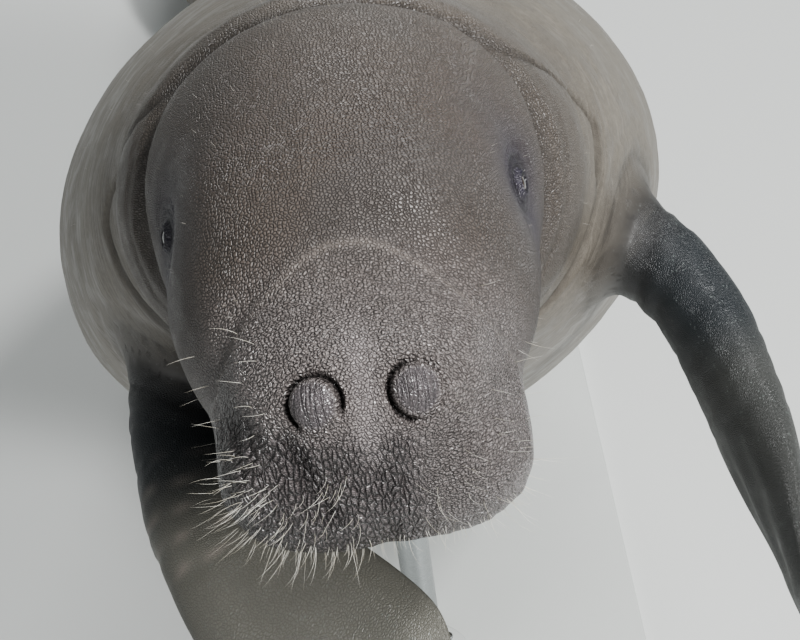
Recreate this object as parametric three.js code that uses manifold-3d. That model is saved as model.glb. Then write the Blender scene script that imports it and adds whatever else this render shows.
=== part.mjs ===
// A life-size manatee that hangs at the surface with its head raised, on a plain display stand.
// Millimetres, +Z up. The animal faces -Y, its left side is +X, and the origin is the middle of the
// underside of the base.
//
// The animal is shaped straight, in its own lengths: x to its left, s from the nose to the tail and
// v up from its middle line. The middle line is then bent, and the shape with it.
import * as THREE from "three";
import { mergeVertices } from "three/addons/utils/BufferGeometryUtils.js";
import Module from "manifold-3d";

const wasm = await Module();
wasm.setup();

// Driving dimensions of the animal
const BODY_LENGTH = 3000; // nose to the end of the tail, along the middle line
const NECK_END = 505;
const CHEST_END = 960;
const BELLY_END = 1480;
const LOIN_END = 1960;
const STOCK_END = 2290; // where the tail stock widens into the paddle
const PADDLE_HALF_WIDTH = 322;
const PADDLE_ROUND = 330; // length of the paddle's rounded end
const PADDLE_RIM = 1.6; // how late its thickness gives way there
const PADDLE_POWER = 2.2; // how square that end is, where 2 is an ellipse

// How the middle line is bent, in degrees of slope down towards the tail
const HEAD_SLOPE = 5;
const NECK_BEND = { by: 47, from: 60, to: 560 };
const BACK_BEND = { by: -42, from: 1150, to: 2250 };
const TAIL_BEND = { by: -5, from: 2300, to: 3000 };

// How the head is carried to the animal's right, in mm, and how the trunk is rolled left side up
const SWAY = { by: -18, from: 60, to: 620 };
const ROLL = { by: 11, from: 350, to: 850, backFrom: 1500, backTo: 2300 };

// Driving dimensions of the stand
const BASE = { length: 1240, width: 640, thickness: 24, corner: 70, bevel: 3 };
const FLANGE = { radius: 62, height: 14 };
const ROD_RADIUS = 22;
const CUP = { radius: 64, height: 44 };
const FRONT_ROD_S = 1150; // where the rods meet the belly
const REAR_ROD_S = 1850;
const TAIL_CLEARANCE = 130; // middle line of the tail's end above the floor

const GAP = 0.3; // between pieces that touch
const BALANCE_S = 1300; // the place on the middle line that stands over the base's middle

const radians = THREE.MathUtils.degToRad;
const smooth = (from, to, x) => THREE.MathUtils.smoothstep(x, from, to);
const mix = THREE.MathUtils.lerp;

// The middle line

function slopeAt(s) {
  const bends = [NECK_BEND, BACK_BEND, TAIL_BEND];
  const turned = bends.reduce((sum, bend) => sum + bend.by * smooth(bend.from, bend.to, s), 0);
  return radians(HEAD_SLOPE + turned);
}

const SPINE_STEP = 10;
const spine = [{ y: 0, z: 0 }];
for (let s = 0; s < BODY_LENGTH + 100; s += SPINE_STEP) {
  const last = spine[spine.length - 1];
  const slope = slopeAt(s + SPINE_STEP / 2);
  spine.push({ y: last.y + SPINE_STEP * Math.cos(slope), z: last.z - SPINE_STEP * Math.sin(slope) });
}

function alongSpine(s) {
  if (s < 0) {
    return { y: s * Math.cos(slopeAt(0)), z: -s * Math.sin(slopeAt(0)) };
  }
  const step = Math.min(Math.floor(s / SPINE_STEP), spine.length - 2);
  const share = s / SPINE_STEP - step;
  return {
    y: mix(spine[step].y, spine[step + 1].y, share),
    z: mix(spine[step].z, spine[step + 1].z, share),
  };
}

const BALANCE_Y = alongSpine(BALANCE_S).y;
const TAIL_Z = alongSpine(BODY_LENGTH).z;

const swayAt = (s) => SWAY.by * (1 - smooth(SWAY.from, SWAY.to, s));
const rollAt = (s) =>
  radians(ROLL.by * (smooth(ROLL.from, ROLL.to, s) - smooth(ROLL.backFrom, ROLL.backTo, s)));

// A place of the straight animal, on the bent one
function place(x, s, v) {
  const slope = slopeAt(s);
  const on = alongSpine(s);
  const roll = rollAt(s);
  const over = x * Math.cos(roll) - v * Math.sin(roll);
  const up = x * Math.sin(roll) + v * Math.cos(roll);
  return new THREE.Vector3(
    over + swayAt(s),
    on.y - BALANCE_Y + up * Math.sin(slope),
    on.z - TAIL_Z + TAIL_CLEARANCE + up * Math.cos(slope),
  );
}

// The body from neck to tail: half width, height above and depth below the middle line
const GIRTH = [
  { s: 300, w: 172, up: 138, down: 152 },
  { s: 430, w: 205, up: 165, down: 182 },
  { s: 600, w: 272, up: 222, down: 220 },
  { s: 900, w: 346, up: 294, down: 262 },
  { s: 1200, w: 376, up: 328, down: 290 },
  { s: 1500, w: 356, up: 308, down: 284 },
  { s: 1800, w: 292, up: 246, down: 240 },
  { s: 2060, w: 222, up: 168, down: 162 },
  { s: 2250, w: 186, up: 108, down: 102 },
  { s: 2400, w: 236, up: 70, down: 66 },
  { s: 2560, w: 305, up: 47, down: 44 },
  { s: 2700, w: PADDLE_HALF_WIDTH, up: 34, down: 32 },
  { s: 2850, w: PADDLE_HALF_WIDTH, up: 24, down: 23 },
  { s: 3000, w: PADDLE_HALF_WIDTH, up: 16, down: 15 },
];
const SHOULDER = { s: 640, angle: -38, length: 130, spread: 34, swell: 0.065 };

// A smooth curve through the stations
function station(key, s) {
  const last = GIRTH.length - 1;
  let i = GIRTH.findIndex((g) => g.s > s) - 1;
  if (i < 0) i = s < GIRTH[0].s ? 0 : last - 1;
  const at = (n) => GIRTH[THREE.MathUtils.clamp(n, 0, last)];
  const tangent = (n) => (at(n + 1)[key] - at(n - 1)[key]) / (at(n + 1).s - at(n - 1).s);
  const [a, b] = [at(i), at(i + 1)];
  const run = b.s - a.s;
  const t = THREE.MathUtils.clamp((s - a.s) / run, 0, 1);
  const [t2, t3] = [t * t, t * t * t];
  return (
    (2 * t3 - 3 * t2 + 1) * a[key] +
    (t3 - 2 * t2 + t) * run * tangent(i) +
    (3 * t2 - 2 * t3) * b[key] +
    (t3 - t2) * run * tangent(i + 1)
  );
}

// The body's outline across at s, at an angle from its left side, as [x, v]
function across(s, angle) {
  const into = THREE.MathUtils.clamp((s - (BODY_LENGTH - PADDLE_ROUND)) / PADDLE_ROUND, 0, 1);
  const end = Math.sqrt(Math.max(1 - into ** PADDLE_POWER, 0));
  const side = Math.sin(angle) > 0 ? "up" : "down";
  const x = station("w", s) * Math.cos(angle) * end;
  const v = station(side, s) * Math.sin(angle) * Math.min(1, end * PADDLE_RIM);
  // The shoulders swell where the flippers leave the body
  const height = THREE.MathUtils.radToDeg(Math.asin(Math.sin(angle)));
  const along = (s - SHOULDER.s) / SHOULDER.length;
  const over = (height - SHOULDER.angle) / SHOULDER.spread;
  const swell = 1 + SHOULDER.swell * Math.exp(-(along ** 2) - over ** 2);
  return [x * swell, v * swell];
}

// The head is a smooth union of rounded forms: [x, s, v] of each middle, its radii along the same
// axes, how far it is tipped nose down, in degrees, how square it is, and how softly it joins the
// ones before it.
const HEAD_FORMS = [
  { name: "cranium", at: [0, 290, 14], radii: [152, 180, 132], tip: 14, power: 2.2, soft: 0 },
  { name: "neck", at: [0, 470, -12], radii: [222, 240, 190], tip: 0, power: 2, soft: 60 },
  { name: "face", at: [0, 160, 2], radii: [118, 150, 88], tip: 24, power: 2.4, soft: 50 },
  { name: "muzzle", at: [0, 78, -22], radii: [100, 76, 78], tip: 40, power: 2.5, soft: 26 },
  { name: "cheek", at: [82, 215, -38], radii: [66, 130, 86], tip: 0, power: 2, soft: 40 },
  { name: "lip", at: [0, 64, -66], radii: [118, 68, 59], tip: 6, power: 3, soft: 22 },
  { name: "lip_pad", at: [36, 50, -72], radii: [80, 62, 54], tip: 12, power: 2.2, soft: 24 },
  { name: "chin", at: [0, 128, -112], radii: [64, 76, 34], tip: 0, power: 2.2, soft: 10 },
  { name: "throat", at: [0, 262, -88], radii: [128, 158, 82], tip: 0, power: 2, soft: 40 },
];

// Grooves that the head's forms carry: eye hollows, the crease over the muzzle, the middle line
const EYE = { x: 142, s: 240, v: 28 };
const EYE_HOLLOW = { radius: 42, depth: 9 };
const LID = { radius: 17, height: 5 };
const MUZZLE_CREASE = { s: 125, v: 72, lean: 0.92, width: 10, depth: 3, above: [-40, 10] };
const PHILTRUM = { width: 9, depth: 2, below: [5, 45], before: [70, 110] };
const NECK_CREASE = { s: 318, lean: 0.26, width: 13, depth: 12 };
const MOUTH = { s: 30, v: -112, rise: 0.16, corner: 150, fade: 25, width: 7, depth: 8 };

// Distance to a squared ellipsoid, near enough close to its surface
function distanceTo(form, side, x, s, v) {
  const [cos, sin] = [Math.cos(radians(form.tip)), Math.sin(radians(form.tip))];
  const [dx, ds, dv] = [x - side * form.at[0], s - form.at[1], v - form.at[2]];
  const local = [dx, ds * cos + dv * sin, dv * cos - ds * sin];
  const scaled = local.map((q, i) => Math.abs(q) / form.radii[i]);
  const size = scaled.reduce((sum, q) => sum + q ** form.power, 0) ** (1 / form.power);
  if (size < 1e-6) return -Math.min(...form.radii);
  const steep = Math.hypot(...scaled.map((q, i) => (q / size) ** (form.power - 1) / form.radii[i]));
  return (size - 1) / steep;
}

function join(a, b, soft) {
  const h = Math.max(soft - Math.abs(a - b), 0) / Math.max(soft, 1);
  return Math.min(a, b) - (h * h * soft) / 4;
}

const bell = (distance, width) => Math.exp(-((distance / width) ** 2));

const mouthLevel = (s) => MOUTH.v + MOUTH.rise * (s - MOUTH.s);

// How far a place lies outside the head's surface
function headField(x, s, v) {
  let d = Infinity;
  for (const form of HEAD_FORMS) {
    for (const side of form.at[0] ? [1, -1] : [1]) {
      const e = distanceTo(form, side, x, s, v);
      d = d === Infinity ? e : join(d, e, form.soft);
    }
  }
  const fromEye = Math.hypot(Math.abs(x) - EYE.x, s - EYE.s, v - EYE.v);
  d += EYE_HOLLOW.depth * bell(fromEye, EYE_HOLLOW.radius);
  d -= LID.height * bell(fromEye, LID.radius);
  const crease = s - MUZZLE_CREASE.s - MUZZLE_CREASE.lean * (v - MUZZLE_CREASE.v);
  d += MUZZLE_CREASE.depth * bell(crease, MUZZLE_CREASE.width) * smooth(...MUZZLE_CREASE.above, v);
  const onSnout = (1 - smooth(...PHILTRUM.below, v)) * (1 - smooth(...PHILTRUM.before, s));
  d += PHILTRUM.depth * bell(x, PHILTRUM.width) * onSnout;
  d += NECK_CREASE.depth * bell(s - NECK_CREASE.s - NECK_CREASE.lean * v, NECK_CREASE.width);
  const corner = 1 - smooth(MOUTH.corner - MOUTH.fade, MOUTH.corner, s);
  d += MOUTH.depth * bell(v - mouthLevel(s), MOUTH.width) * corner;
  return d;
}

// The furthest place out along a ray that is still on the head
const FARTHEST = 330;
const RAY_STEPS = 66;
function castToHead(from, way) {
  const at = (r) => headField(from[0] + way[0] * r, from[1] + way[1] * r, from[2] + way[2] * r);
  const step = FARTHEST / RAY_STEPS;
  let outer = FARTHEST;
  while (outer > step && at(outer - step) > 0) outer -= step;
  let inner = outer - step;
  for (let i = 0; i < 18; i += 1) {
    const middle = (inner + outer) / 2;
    if (at(middle) > 0) outer = middle;
    else inner = middle;
  }
  const r = (inner + outer) / 2;
  return from.map((q, i) => q + way[i] * r);
}

// Rings round the head fan out from a pole at the mouth and then run straight along the body
const FAN = { from: 98, to: 235, v: -14, droop: 48 };
const HEAD_FADE = { from: 370, to: 520 }; // where the head's forms give way to the body's outline

// A ray for ring u from 0 at the pole to 1 where the rings stand upright
function fanRay(u, angle) {
  const open = radians(90) * u;
  const droop = radians(FAN.droop) * (1 - smooth(0, 1, u));
  const from = [0, mix(FAN.from, FAN.to, u * u), FAN.v * (1 - u)];
  const [x, up] = [Math.sin(open) * Math.cos(angle), Math.sin(open) * Math.sin(angle)];
  const ahead = Math.cos(open);
  const [cos, sin] = [Math.cos(droop), Math.sin(droop)];
  return { from, way: [x, -ahead * cos - up * sin, up * cos - ahead * sin] };
}

// The skin of neck and body at s, as [x, s, v]
function skinAt(s, angle) {
  const [x, v] = across(s, angle);
  if (s > HEAD_FADE.to) return [x, s, v];
  const r = Math.hypot(x, v);
  const hit = castToHead([0, s, 0], [x / r, 0, v / r]);
  const share = smooth(HEAD_FADE.from, HEAD_FADE.to, s);
  return [mix(hit[0], x, share), s, mix(hit[2], v, share)];
}

// Closed meshes from rings of points; a ring of one point is a pole, and flat ends are fanned
function meshOf(rings) {
  const points = [];
  const faces = [];
  const starts = rings.map((ring) => {
    const start = points.length;
    ring.forEach((p) => points.push(p));
    return start;
  });
  for (let i = 0; i + 1 < rings.length; i += 1) {
    const [a, b] = [rings[i].length, rings[i + 1].length];
    const count = Math.max(a, b);
    for (let j = 0; j < count; j += 1) {
      const k = (j + 1) % count;
      const [p, q] = [starts[i] + (j % a), starts[i] + (k % a)];
      const [r, t] = [starts[i + 1] + (j % b), starts[i + 1] + (k % b)];
      if (a > 1) faces.push(p, r, q);
      if (b > 1) faces.push(q, r, t);
    }
  }
  return new wasm.Manifold(
    new wasm.Mesh({
      numProp: 3,
      vertProperties: new Float32Array(points.flatMap((p) => p.toArray())),
      triVerts: new Uint32Array(faces),
    }),
  );
}

const middleOf = (ring) =>
  ring.reduce((sum, p) => sum.add(p), new THREE.Vector3()).divideScalar(ring.length);

// Rings whose ends are closed flat, turned so that the faces point out
function loft(rings) {
  const closed = [...rings];
  if (rings[0].length > 1) closed.unshift([middleOf(rings[0])]);
  if (rings[rings.length - 1].length > 1) closed.push([middleOf(rings[rings.length - 1])]);
  const made = meshOf(closed);
  return made.volume() > 0 ? made : meshOf(closed.map((ring) => [...ring].reverse()));
}

// A three.js geometry as a solid, and back
function solidOf(geometry) {
  const bare = geometry.clone();
  bare.deleteAttribute("normal");
  bare.deleteAttribute("uv");
  const merged = mergeVertices(bare, 1e-3);
  return new wasm.Manifold(
    new wasm.Mesh({
      numProp: 3,
      vertProperties: new Float32Array(merged.attributes.position.array),
      triVerts: new Uint32Array(merged.index.array),
    }),
  );
}

function geometryOf(solid) {
  const mesh = solid.getMesh();
  return new THREE.BufferGeometry()
    .setAttribute("position", new THREE.BufferAttribute(new Float32Array(mesh.vertProperties), 3))
    .setIndex(new THREE.BufferAttribute(new Uint32Array(mesh.triVerts), 1));
}

// Only the largest closed surface of a solid
function largest(solid) {
  return solid.decompose().reduce((best, piece) => (piece.volume() > best.volume() ? piece : best));
}

// Angles round a ring
const around = (count) => Array.from({ length: count }, (_, j) => (2 * Math.PI * j) / count);

// Finishes of the real skin, nails, eyes and stand
const material = (colour, roughness, metalness = 0) =>
  new THREE.MeshStandardMaterial({ color: colour, roughness, metalness });
const SKIN = material(0x6b6259, 0.62);
const SNOUT_SKIN = material(0x544f4d, 0.5);
const FLIPPER_SKIN = material(0x4a4d49, 0.6);
const NAIL_HORN = material(0x8f8474, 0.45);
const EYE_GLOSS = material(0x1a1410, 0.12);
const STAND_PAINT = material(0xc9cdc9, 0.45);
const ROD_STEEL = material(0xb4b7b6, 0.3, 0.9);

const manatee = new THREE.Group();

function add(name, solid, finish) {
  const mesh = new THREE.Mesh(geometryOf(largest(solid)), finish);
  mesh.name = name;
  manatee.add(mesh);
}

const half = GAP / 2;

// Body lengths, each closed flat at both ends

const BODY_SEGMENTS = 42;

function bodyRing(s, grow = 0) {
  return around(BODY_SEGMENTS).map((angle) => {
    const [x, , v] = skinAt(s, angle);
    const scale = 1 + grow / Math.hypot(x, v);
    return place(x * scale, s, v * scale);
  });
}

function bodyLength(from, to, count, grow = 0) {
  return loft(Array.from({ length: count + 1 }, (_, i) => bodyRing(mix(from, to, i / count), grow)));
}

function tailPaddle() {
  const count = 15;
  const rings = [];
  for (let i = 0; i < count; i += 1) {
    // The rings crowd together towards the rounded end
    rings.push(bodyRing(mix(STOCK_END + half, BODY_LENGTH, Math.sin(((i / count) * Math.PI) / 2))));
  }
  rings.push([place(0, BODY_LENGTH, 0)]);
  return loft(rings);
}

const LENGTHS = {
  chest: { from: NECK_END, to: CHEST_END, count: 8 },
  belly: { from: CHEST_END, to: BELLY_END, count: 7 },
  loin: { from: BELLY_END, to: LOIN_END, count: 7 },
  tail_stock: { from: LOIN_END, to: STOCK_END, count: 6 },
};

function bodyLengthOf(name, grow = 0) {
  const { from, to, count } = LENGTHS[name];
  return bodyLength(from + half, to - half, count, grow);
}

// A body length with the room round it that its neighbours leave free
const roomOf = (name) => bodyLengthOf(name, 1.4 * GAP);

for (const name of Object.keys(LENGTHS)) add(name, bodyLengthOf(name), SKIN);
add("tail_paddle", tailPaddle(), SKIN);

// Cuts straight through from side to side: a line in the middle plane from one [s, v] to another

function cutPlane(from, to) {
  const [a, b] = [place(0, ...from), place(0, ...to)];
  const normal = new THREE.Vector3(0, b.z - a.z, a.y - b.y).normalize();
  if (normal.y > 0) normal.negate(); // towards the nose
  return { normal, offset: normal.dot(a) };
}

const inFrontOf = (solid, plane) => solid.trimByPlane(plane.normal.toArray(), plane.offset + half);
const behind = (solid, plane) =>
  solid.trimByPlane(plane.normal.clone().negate().toArray(), half - plane.offset);

// A block from side to side over an outline of [s, v] places
function sideBlock(outline, width) {
  const shape = new THREE.Shape(
    outline.map((q) => place(0, ...q)).map((p) => new THREE.Vector2(p.y, p.z)),
  );
  const block = new THREE.ExtrudeGeometry(shape, { depth: width, bevelEnabled: false });
  block.translate(0, 0, -width / 2);
  const turned = new THREE.Matrix4().makeBasis(
    new THREE.Vector3(0, 1, 0),
    new THREE.Vector3(0, 0, 1),
    new THREE.Vector3(1, 0, 0),
  );
  return solidOf(block.applyMatrix4(turned));
}

// Head and neck in one, from a pole at the mouth back to the chest

const HEAD_SEGMENTS = 60;
const FAN_RINGS = 20;
const NECK_RINGS = 11;

function headAndNeck() {
  const pole = fanRay(0, 0);
  const rings = [[place(...castToHead(pole.from, pole.way))]];
  for (let i = 1; i <= FAN_RINGS; i += 1) {
    rings.push(
      around(HEAD_SEGMENTS).map((angle) => {
        const ray = fanRay(i / FAN_RINGS, angle);
        return place(...castToHead(ray.from, ray.way));
      }),
    );
  }
  for (let i = 1; i <= NECK_RINGS; i += 1) {
    const s = mix(FAN.to, NECK_END - half, i / NECK_RINGS);
    rings.push(around(HEAD_SEGMENTS).map((angle) => place(...skinAt(s, angle))));
  }
  return loft(rings);
}

// Eyeballs sit in round lids that stand a little proud of the hollow

const EYEBALL = { radius: 12, inset: 9.5, around: 16, over: 10 };
const LIDS = { thickness: 3.2, opening: 6.5 };

function ball(centre, radius) {
  const shape = new THREE.SphereGeometry(radius, EYEBALL.around, EYEBALL.over);
  return solidOf(shape.translate(...centre.toArray()));
}

// A closed cylinder from one place to another
function bar(from, to, radius, sides = 32) {
  const way = to.clone().sub(from);
  const shape = new THREE.CylinderGeometry(radius, radius, way.length(), sides);
  shape.translate(0, way.length() / 2, 0);
  const turn = new THREE.Quaternion().setFromUnitVectors(
    new THREE.Vector3(0, 1, 0),
    way.normalize(),
  );
  return solidOf(shape.applyQuaternion(turn).translate(...from.toArray()));
}

// The head's surface from a place in its middle plane towards another, and the way it faces there
const NUDGE = 2;
function onHead([x, s, v], [axisS, axisV]) {
  const way = [x, s - axisS, v - axisV];
  const far = Math.hypot(...way);
  const hit = castToHead([0, axisS, axisV], way.map((q) => q / far));
  const slope = [0, 1, 2].map((i) => {
    const step = hit.map((q, j) => (j === i ? q + NUDGE : q));
    return headField(...step) - headField(...hit);
  });
  const foot = place(...hit);
  const raised = place(...hit.map((q, i) => q + slope[i]));
  return { foot, out: raised.sub(foot).normalize() };
}

const sides = [
  { name: "left", sign: 1 },
  { name: "right", sign: -1 },
];

let head = headAndNeck();
const eyes = sides.map(({ name, sign }) => {
  const { foot, out } = onHead([sign * EYE.x, EYE.s, EYE.v], [EYE.s, 0]);
  const centre = foot.addScaledVector(out, -EYEBALL.inset);
  const front = centre.clone().addScaledVector(out, 2 * EYEBALL.radius);
  head = head
    .add(ball(centre, EYEBALL.radius + LIDS.thickness))
    .subtract(ball(centre, EYEBALL.radius + GAP))
    .subtract(bar(centre, front, LIDS.opening, EYEBALL.around));
  return { name: `eye_${name}`, solid: ball(centre, EYEBALL.radius) };
});

// Nostrils: a round flap in a crescent groove that is open towards the middle

const NOSTRIL = { x: 30, s: 40, v: 22, radius: 20, groove: 3.2, dome: 6, from: -40, sweep: 250 };
const NOSTRIL_AXIS = [95, -20];

class Crescent extends THREE.Curve {
  constructor(centre, right, up, sign) {
    super();
    Object.assign(this, { centre, right, up, sign });
  }

  getPoint(t) {
    const angle = radians(NOSTRIL.from + NOSTRIL.sweep * t);
    return this.centre
      .clone()
      .addScaledVector(this.right, this.sign * NOSTRIL.radius * Math.cos(angle))
      .addScaledVector(this.up, NOSTRIL.radius * Math.sin(angle));
  }
}

function circleShape(radius, count) {
  return new THREE.Shape(
    around(count).map((a) => new THREE.Vector2(radius * Math.cos(a), radius * Math.sin(a))),
  );
}

for (const { sign } of sides) {
  const { foot, out } = onHead([sign * NOSTRIL.x, NOSTRIL.s, NOSTRIL.v], NOSTRIL_AXIS);
  const right = new THREE.Vector3(1, 0, 0).cross(out).cross(out).negate().normalize();
  const up = new THREE.Vector3().crossVectors(out, right).normalize();
  const path = new Crescent(foot, right, up, sign);
  const groove = new THREE.ExtrudeGeometry(circleShape(NOSTRIL.groove, 6), {
    steps: 14,
    extrudePath: path,
  });
  const flap = new THREE.SphereGeometry(NOSTRIL.radius - NOSTRIL.groove, 16, 8);
  flap.scale(1, 1, NOSTRIL.dome / NOSTRIL.radius);
  flap.applyMatrix4(new THREE.Matrix4().makeBasis(right, up, out));
  flap.translate(...foot.toArray());
  head = head.subtract(solidOf(groove)).add(solidOf(flap));
}

// The head is parted from the neck along its crease, then into upper head, muzzle and lower jaw

const NECK_CUT = cutPlane([352, 130], [270, -170]);
const MUZZLE_CUT = cutPlane([128, 76], [104, -105]);
const JAW_BLOCK = { front: -60, rear: 205, bottom: -230, width: 400 };

function jawBlock(grow) {
  const { front, rear, bottom, width } = JAW_BLOCK;
  const outline = [
    [front, mouthLevel(front) + grow],
    [MOUTH.corner + grow, mouthLevel(MOUTH.corner) + grow],
    [rear + grow, bottom],
    [front, bottom],
  ];
  return sideBlock(outline, width);
}

const wholeHead = inFrontOf(head, NECK_CUT);
const upperHead = wholeHead.subtract(jawBlock(half));
add("neck", behind(head, NECK_CUT), SKIN);
add("head", behind(upperHead, MUZZLE_CUT), SKIN);
add("muzzle", inFrontOf(upperHead, MUZZLE_CUT), SNOUT_SKIN);
add("lower_jaw", wholeHead.intersect(jawBlock(-half)), SNOUT_SKIN);
for (const eye of eyes) add(eye.name, eye.solid, EYE_GLOSS);

// Flippers: a thick arm that widens into a flat rounded hand. Their paths are [out, ahead, down]
// from the middle line at the shoulders, and so is the way that their breadth lies.

const SHOULDER_S = 640;
const FLIPPERS = [
  {
    side: "left",
    sign: 1,
    nailSide: -1,
    path: [
      [180, -20, 30],
      [258, 0, 92],
      [312, 30, 172],
      [335, 58, 256],
      [349, 78, 336],
      [361, 92, 416],
      [368, 98, 494],
    ],
    breadth: [
      [0.1, 1, -0.1],
      [0.35, 1, 0],
      [-0.1, 1, 0.1],
    ],
  },
  {
    side: "right",
    sign: -1,
    nailSide: 1,
    path: [
      [120, -60, 70],
      [180, 0, 140],
      [192, 80, 218],
      [178, 164, 296],
      [134, 238, 362],
      [69, 292, 420],
      [3, 330, 488],
    ],
    breadth: [
      [1, 0.45, 0.1],
      [1, 0.1, 0.3],
      [0.6, -0.1, 0.75],
    ],
  },
];
const FLIPPER_SECTIONS = [
  { t: 0, wide: 84, thick: 56 },
  { t: 0.2, wide: 70, thick: 46 },
  { t: 0.4, wide: 60, thick: 38 },
  { t: 0.55, wide: 64, thick: 31 },
  { t: 0.75, wide: 85, thick: 21 },
  { t: 0.9, wide: 84, thick: 14 },
  { t: 1, wide: 76, thick: 10 },
];
const FLIPPER_TIP = 0.14; // share of the length that is rounded off
const FLIPPER_POWER = 2.4; // how square that end is
const FLIPPER_RIM = 0.35; // share of the thickness that the tip keeps
const LEADING_EDGE = 0.22; // how much thicker the leading edge is

const shoulder = place(0, SHOULDER_S, 0);
const shoulderSlope = slopeAt(SHOULDER_S);
const shoulderAhead = new THREE.Vector3(0, -Math.cos(shoulderSlope), Math.sin(shoulderSlope));
const shoulderDown = new THREE.Vector3(0, -Math.sin(shoulderSlope), -Math.cos(shoulderSlope));

function fromShoulder(flipper, [out, ahead, down]) {
  return new THREE.Vector3(flipper.sign * out, 0, 0)
    .addScaledVector(shoulderAhead, ahead)
    .addScaledVector(shoulderDown, down);
}

// A section's size at t, eased between the listed ones
function sectionAt(key, t) {
  const i = Math.max(FLIPPER_SECTIONS.findIndex((q) => q.t >= t), 1);
  const [a, b] = [FLIPPER_SECTIONS[i - 1], FLIPPER_SECTIONS[i]];
  const eased = (smooth(a.t, b.t, t) + (t - a.t) / (b.t - a.t)) / 2;
  return mix(a[key], b[key], eased);
}

function flipperFrame(flipper, t) {
  const points = flipper.path.map((q) => fromShoulder(flipper, q).add(shoulder));
  const curve = new THREE.CatmullRomCurve3(points);
  const centre = curve.getPointAt(t);
  const along = curve.getTangentAt(t).normalize();
  const step = t * (flipper.breadth.length - 1);
  const i = Math.min(Math.floor(step), flipper.breadth.length - 2);
  const broad = fromShoulder(flipper, flipper.breadth[i]);
  broad.lerp(fromShoulder(flipper, flipper.breadth[i + 1]), smooth(0, 1, step - i));
  broad.addScaledVector(along, -broad.dot(along)).normalize();
  const flat = new THREE.Vector3().crossVectors(along, broad).multiplyScalar(flipper.sign);
  return { centre, along, broad, flat };
}

// A place on a flipper's surface at t along it and an angle round it
function onFlipper(flipper, t, angle, grow = 0) {
  const { centre, broad, flat } = flipperFrame(flipper, t);
  const into = Math.max((t - (1 - FLIPPER_TIP)) / FLIPPER_TIP, 0);
  const end = Math.sqrt(Math.max(1 - into ** FLIPPER_POWER, 0));
  const wide = sectionAt("wide", t) * end + grow;
  const thick = sectionAt("thick", t) * mix(FLIPPER_RIM, 1, end) + grow;
  const edge = 1 + LEADING_EDGE * Math.cos(angle);
  return centre
    .addScaledVector(broad, wide * Math.cos(angle))
    .addScaledVector(flat, thick * edge * Math.sin(angle));
}

const FLIPPER_SEGMENTS = 20;
const FLIPPER_RINGS = 20;
const TIP_CROWDING = 0.6; // how much closer the rings lie at the tip

function flipperSolid(flipper, grow = 0) {
  const rings = [];
  for (let i = 0; i < FLIPPER_RINGS; i += 1) {
    const step = i / FLIPPER_RINGS;
    const t = mix(step, Math.sin((step * Math.PI) / 2), TIP_CROWDING);
    rings.push(around(FLIPPER_SEGMENTS).map((angle) => onFlipper(flipper, t, angle, grow)));
  }
  const end = flipperFrame(flipper, 1);
  rings.push([end.centre.addScaledVector(end.along, grow)]);
  return loft(rings);
}

// Nails lie on the back of the hand, near its rim
const NAILS = { length: 12, width: 9, height: 4, t: 0.95, first: 38, step: 28, splay: 0.5, count: 4 };

function nailSolid(flipper, number) {
  const angle = flipper.nailSide * radians(NAILS.first + NAILS.step * number);
  const centre = onFlipper(flipper, NAILS.t, angle);
  const { along, broad, flat } = flipperFrame(flipper, NAILS.t);
  const out = flat.multiplyScalar(Math.sign(angle));
  const way = along.addScaledVector(broad, NAILS.splay * Math.cos(angle));
  way.addScaledVector(out, -way.dot(out)).normalize();
  const sideways = new THREE.Vector3().crossVectors(out, way);
  const shape = new THREE.SphereGeometry(1, 12, 6);
  shape.scale(NAILS.length, NAILS.width, NAILS.height);
  shape.applyMatrix4(new THREE.Matrix4().makeBasis(way, sideways, out));
  return solidOf(shape.translate(...centre.toArray()));
}

for (const flipper of FLIPPERS) {
  const body = flipperSolid(flipper).subtract(roomOf("chest"));
  add(`flipper_${flipper.side}`, body, FLIPPER_SKIN);
  const room = flipperSolid(flipper, 1.2 * GAP);
  for (let number = 0; number < NAILS.count; number += 1) {
    const nail = nailSolid(flipper, number).subtract(room);
    add(`nail_${flipper.side}_${number + 1}`, nail, NAIL_HORN);
  }
}

// Stand

const STAND_SIDES = 40;

function roundedPlate({ length, width, thickness, corner, bevel }) {
  const [x, y] = [width / 2 - bevel, length / 2 - bevel];
  const shape = new THREE.Shape();
  shape.moveTo(-x + corner, -y);
  shape.lineTo(x - corner, -y);
  shape.absarc(x - corner, -y + corner, corner, -Math.PI / 2, 0);
  shape.lineTo(x, y - corner);
  shape.absarc(x - corner, y - corner, corner, 0, Math.PI / 2);
  shape.lineTo(-x + corner, y);
  shape.absarc(-x + corner, y - corner, corner, Math.PI / 2, Math.PI);
  shape.lineTo(-x, -y + corner);
  shape.absarc(-x + corner, -y + corner, corner, Math.PI, 1.5 * Math.PI);
  const plate = new THREE.ExtrudeGeometry(shape, {
    depth: thickness - 2 * bevel,
    bevelThickness: bevel,
    bevelSize: bevel,
    bevelSegments: 1,
    curveSegments: 8,
  });
  return plate.translate(0, 0, bevel);
}

add("stand_base", solidOf(roundedPlate(BASE)), STAND_PAINT);

function rod(name, s, room) {
  const belly = place(0, s, -station("down", s));
  const at = (z) => new THREE.Vector3(0, belly.y, z);
  const floor = BASE.thickness + GAP;
  const flangeTop = floor + FLANGE.height;
  const cupBase = belly.z - CUP.height;
  add(`stand_flange_${name}`, bar(at(floor), at(flangeTop), FLANGE.radius, STAND_SIDES), STAND_PAINT);
  add(`stand_rod_${name}`, bar(at(flangeTop + GAP), at(cupBase - GAP), ROD_RADIUS), ROD_STEEL);
  const cup = bar(at(cupBase), at(belly.z + CUP.radius), CUP.radius, STAND_SIDES);
  add(`stand_cup_${name}`, cup.subtract(room), STAND_PAINT);
}

rod("front", FRONT_ROD_S, roomOf("belly"));
rod("rear", REAR_ROD_S, roomOf("loin"));

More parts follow.
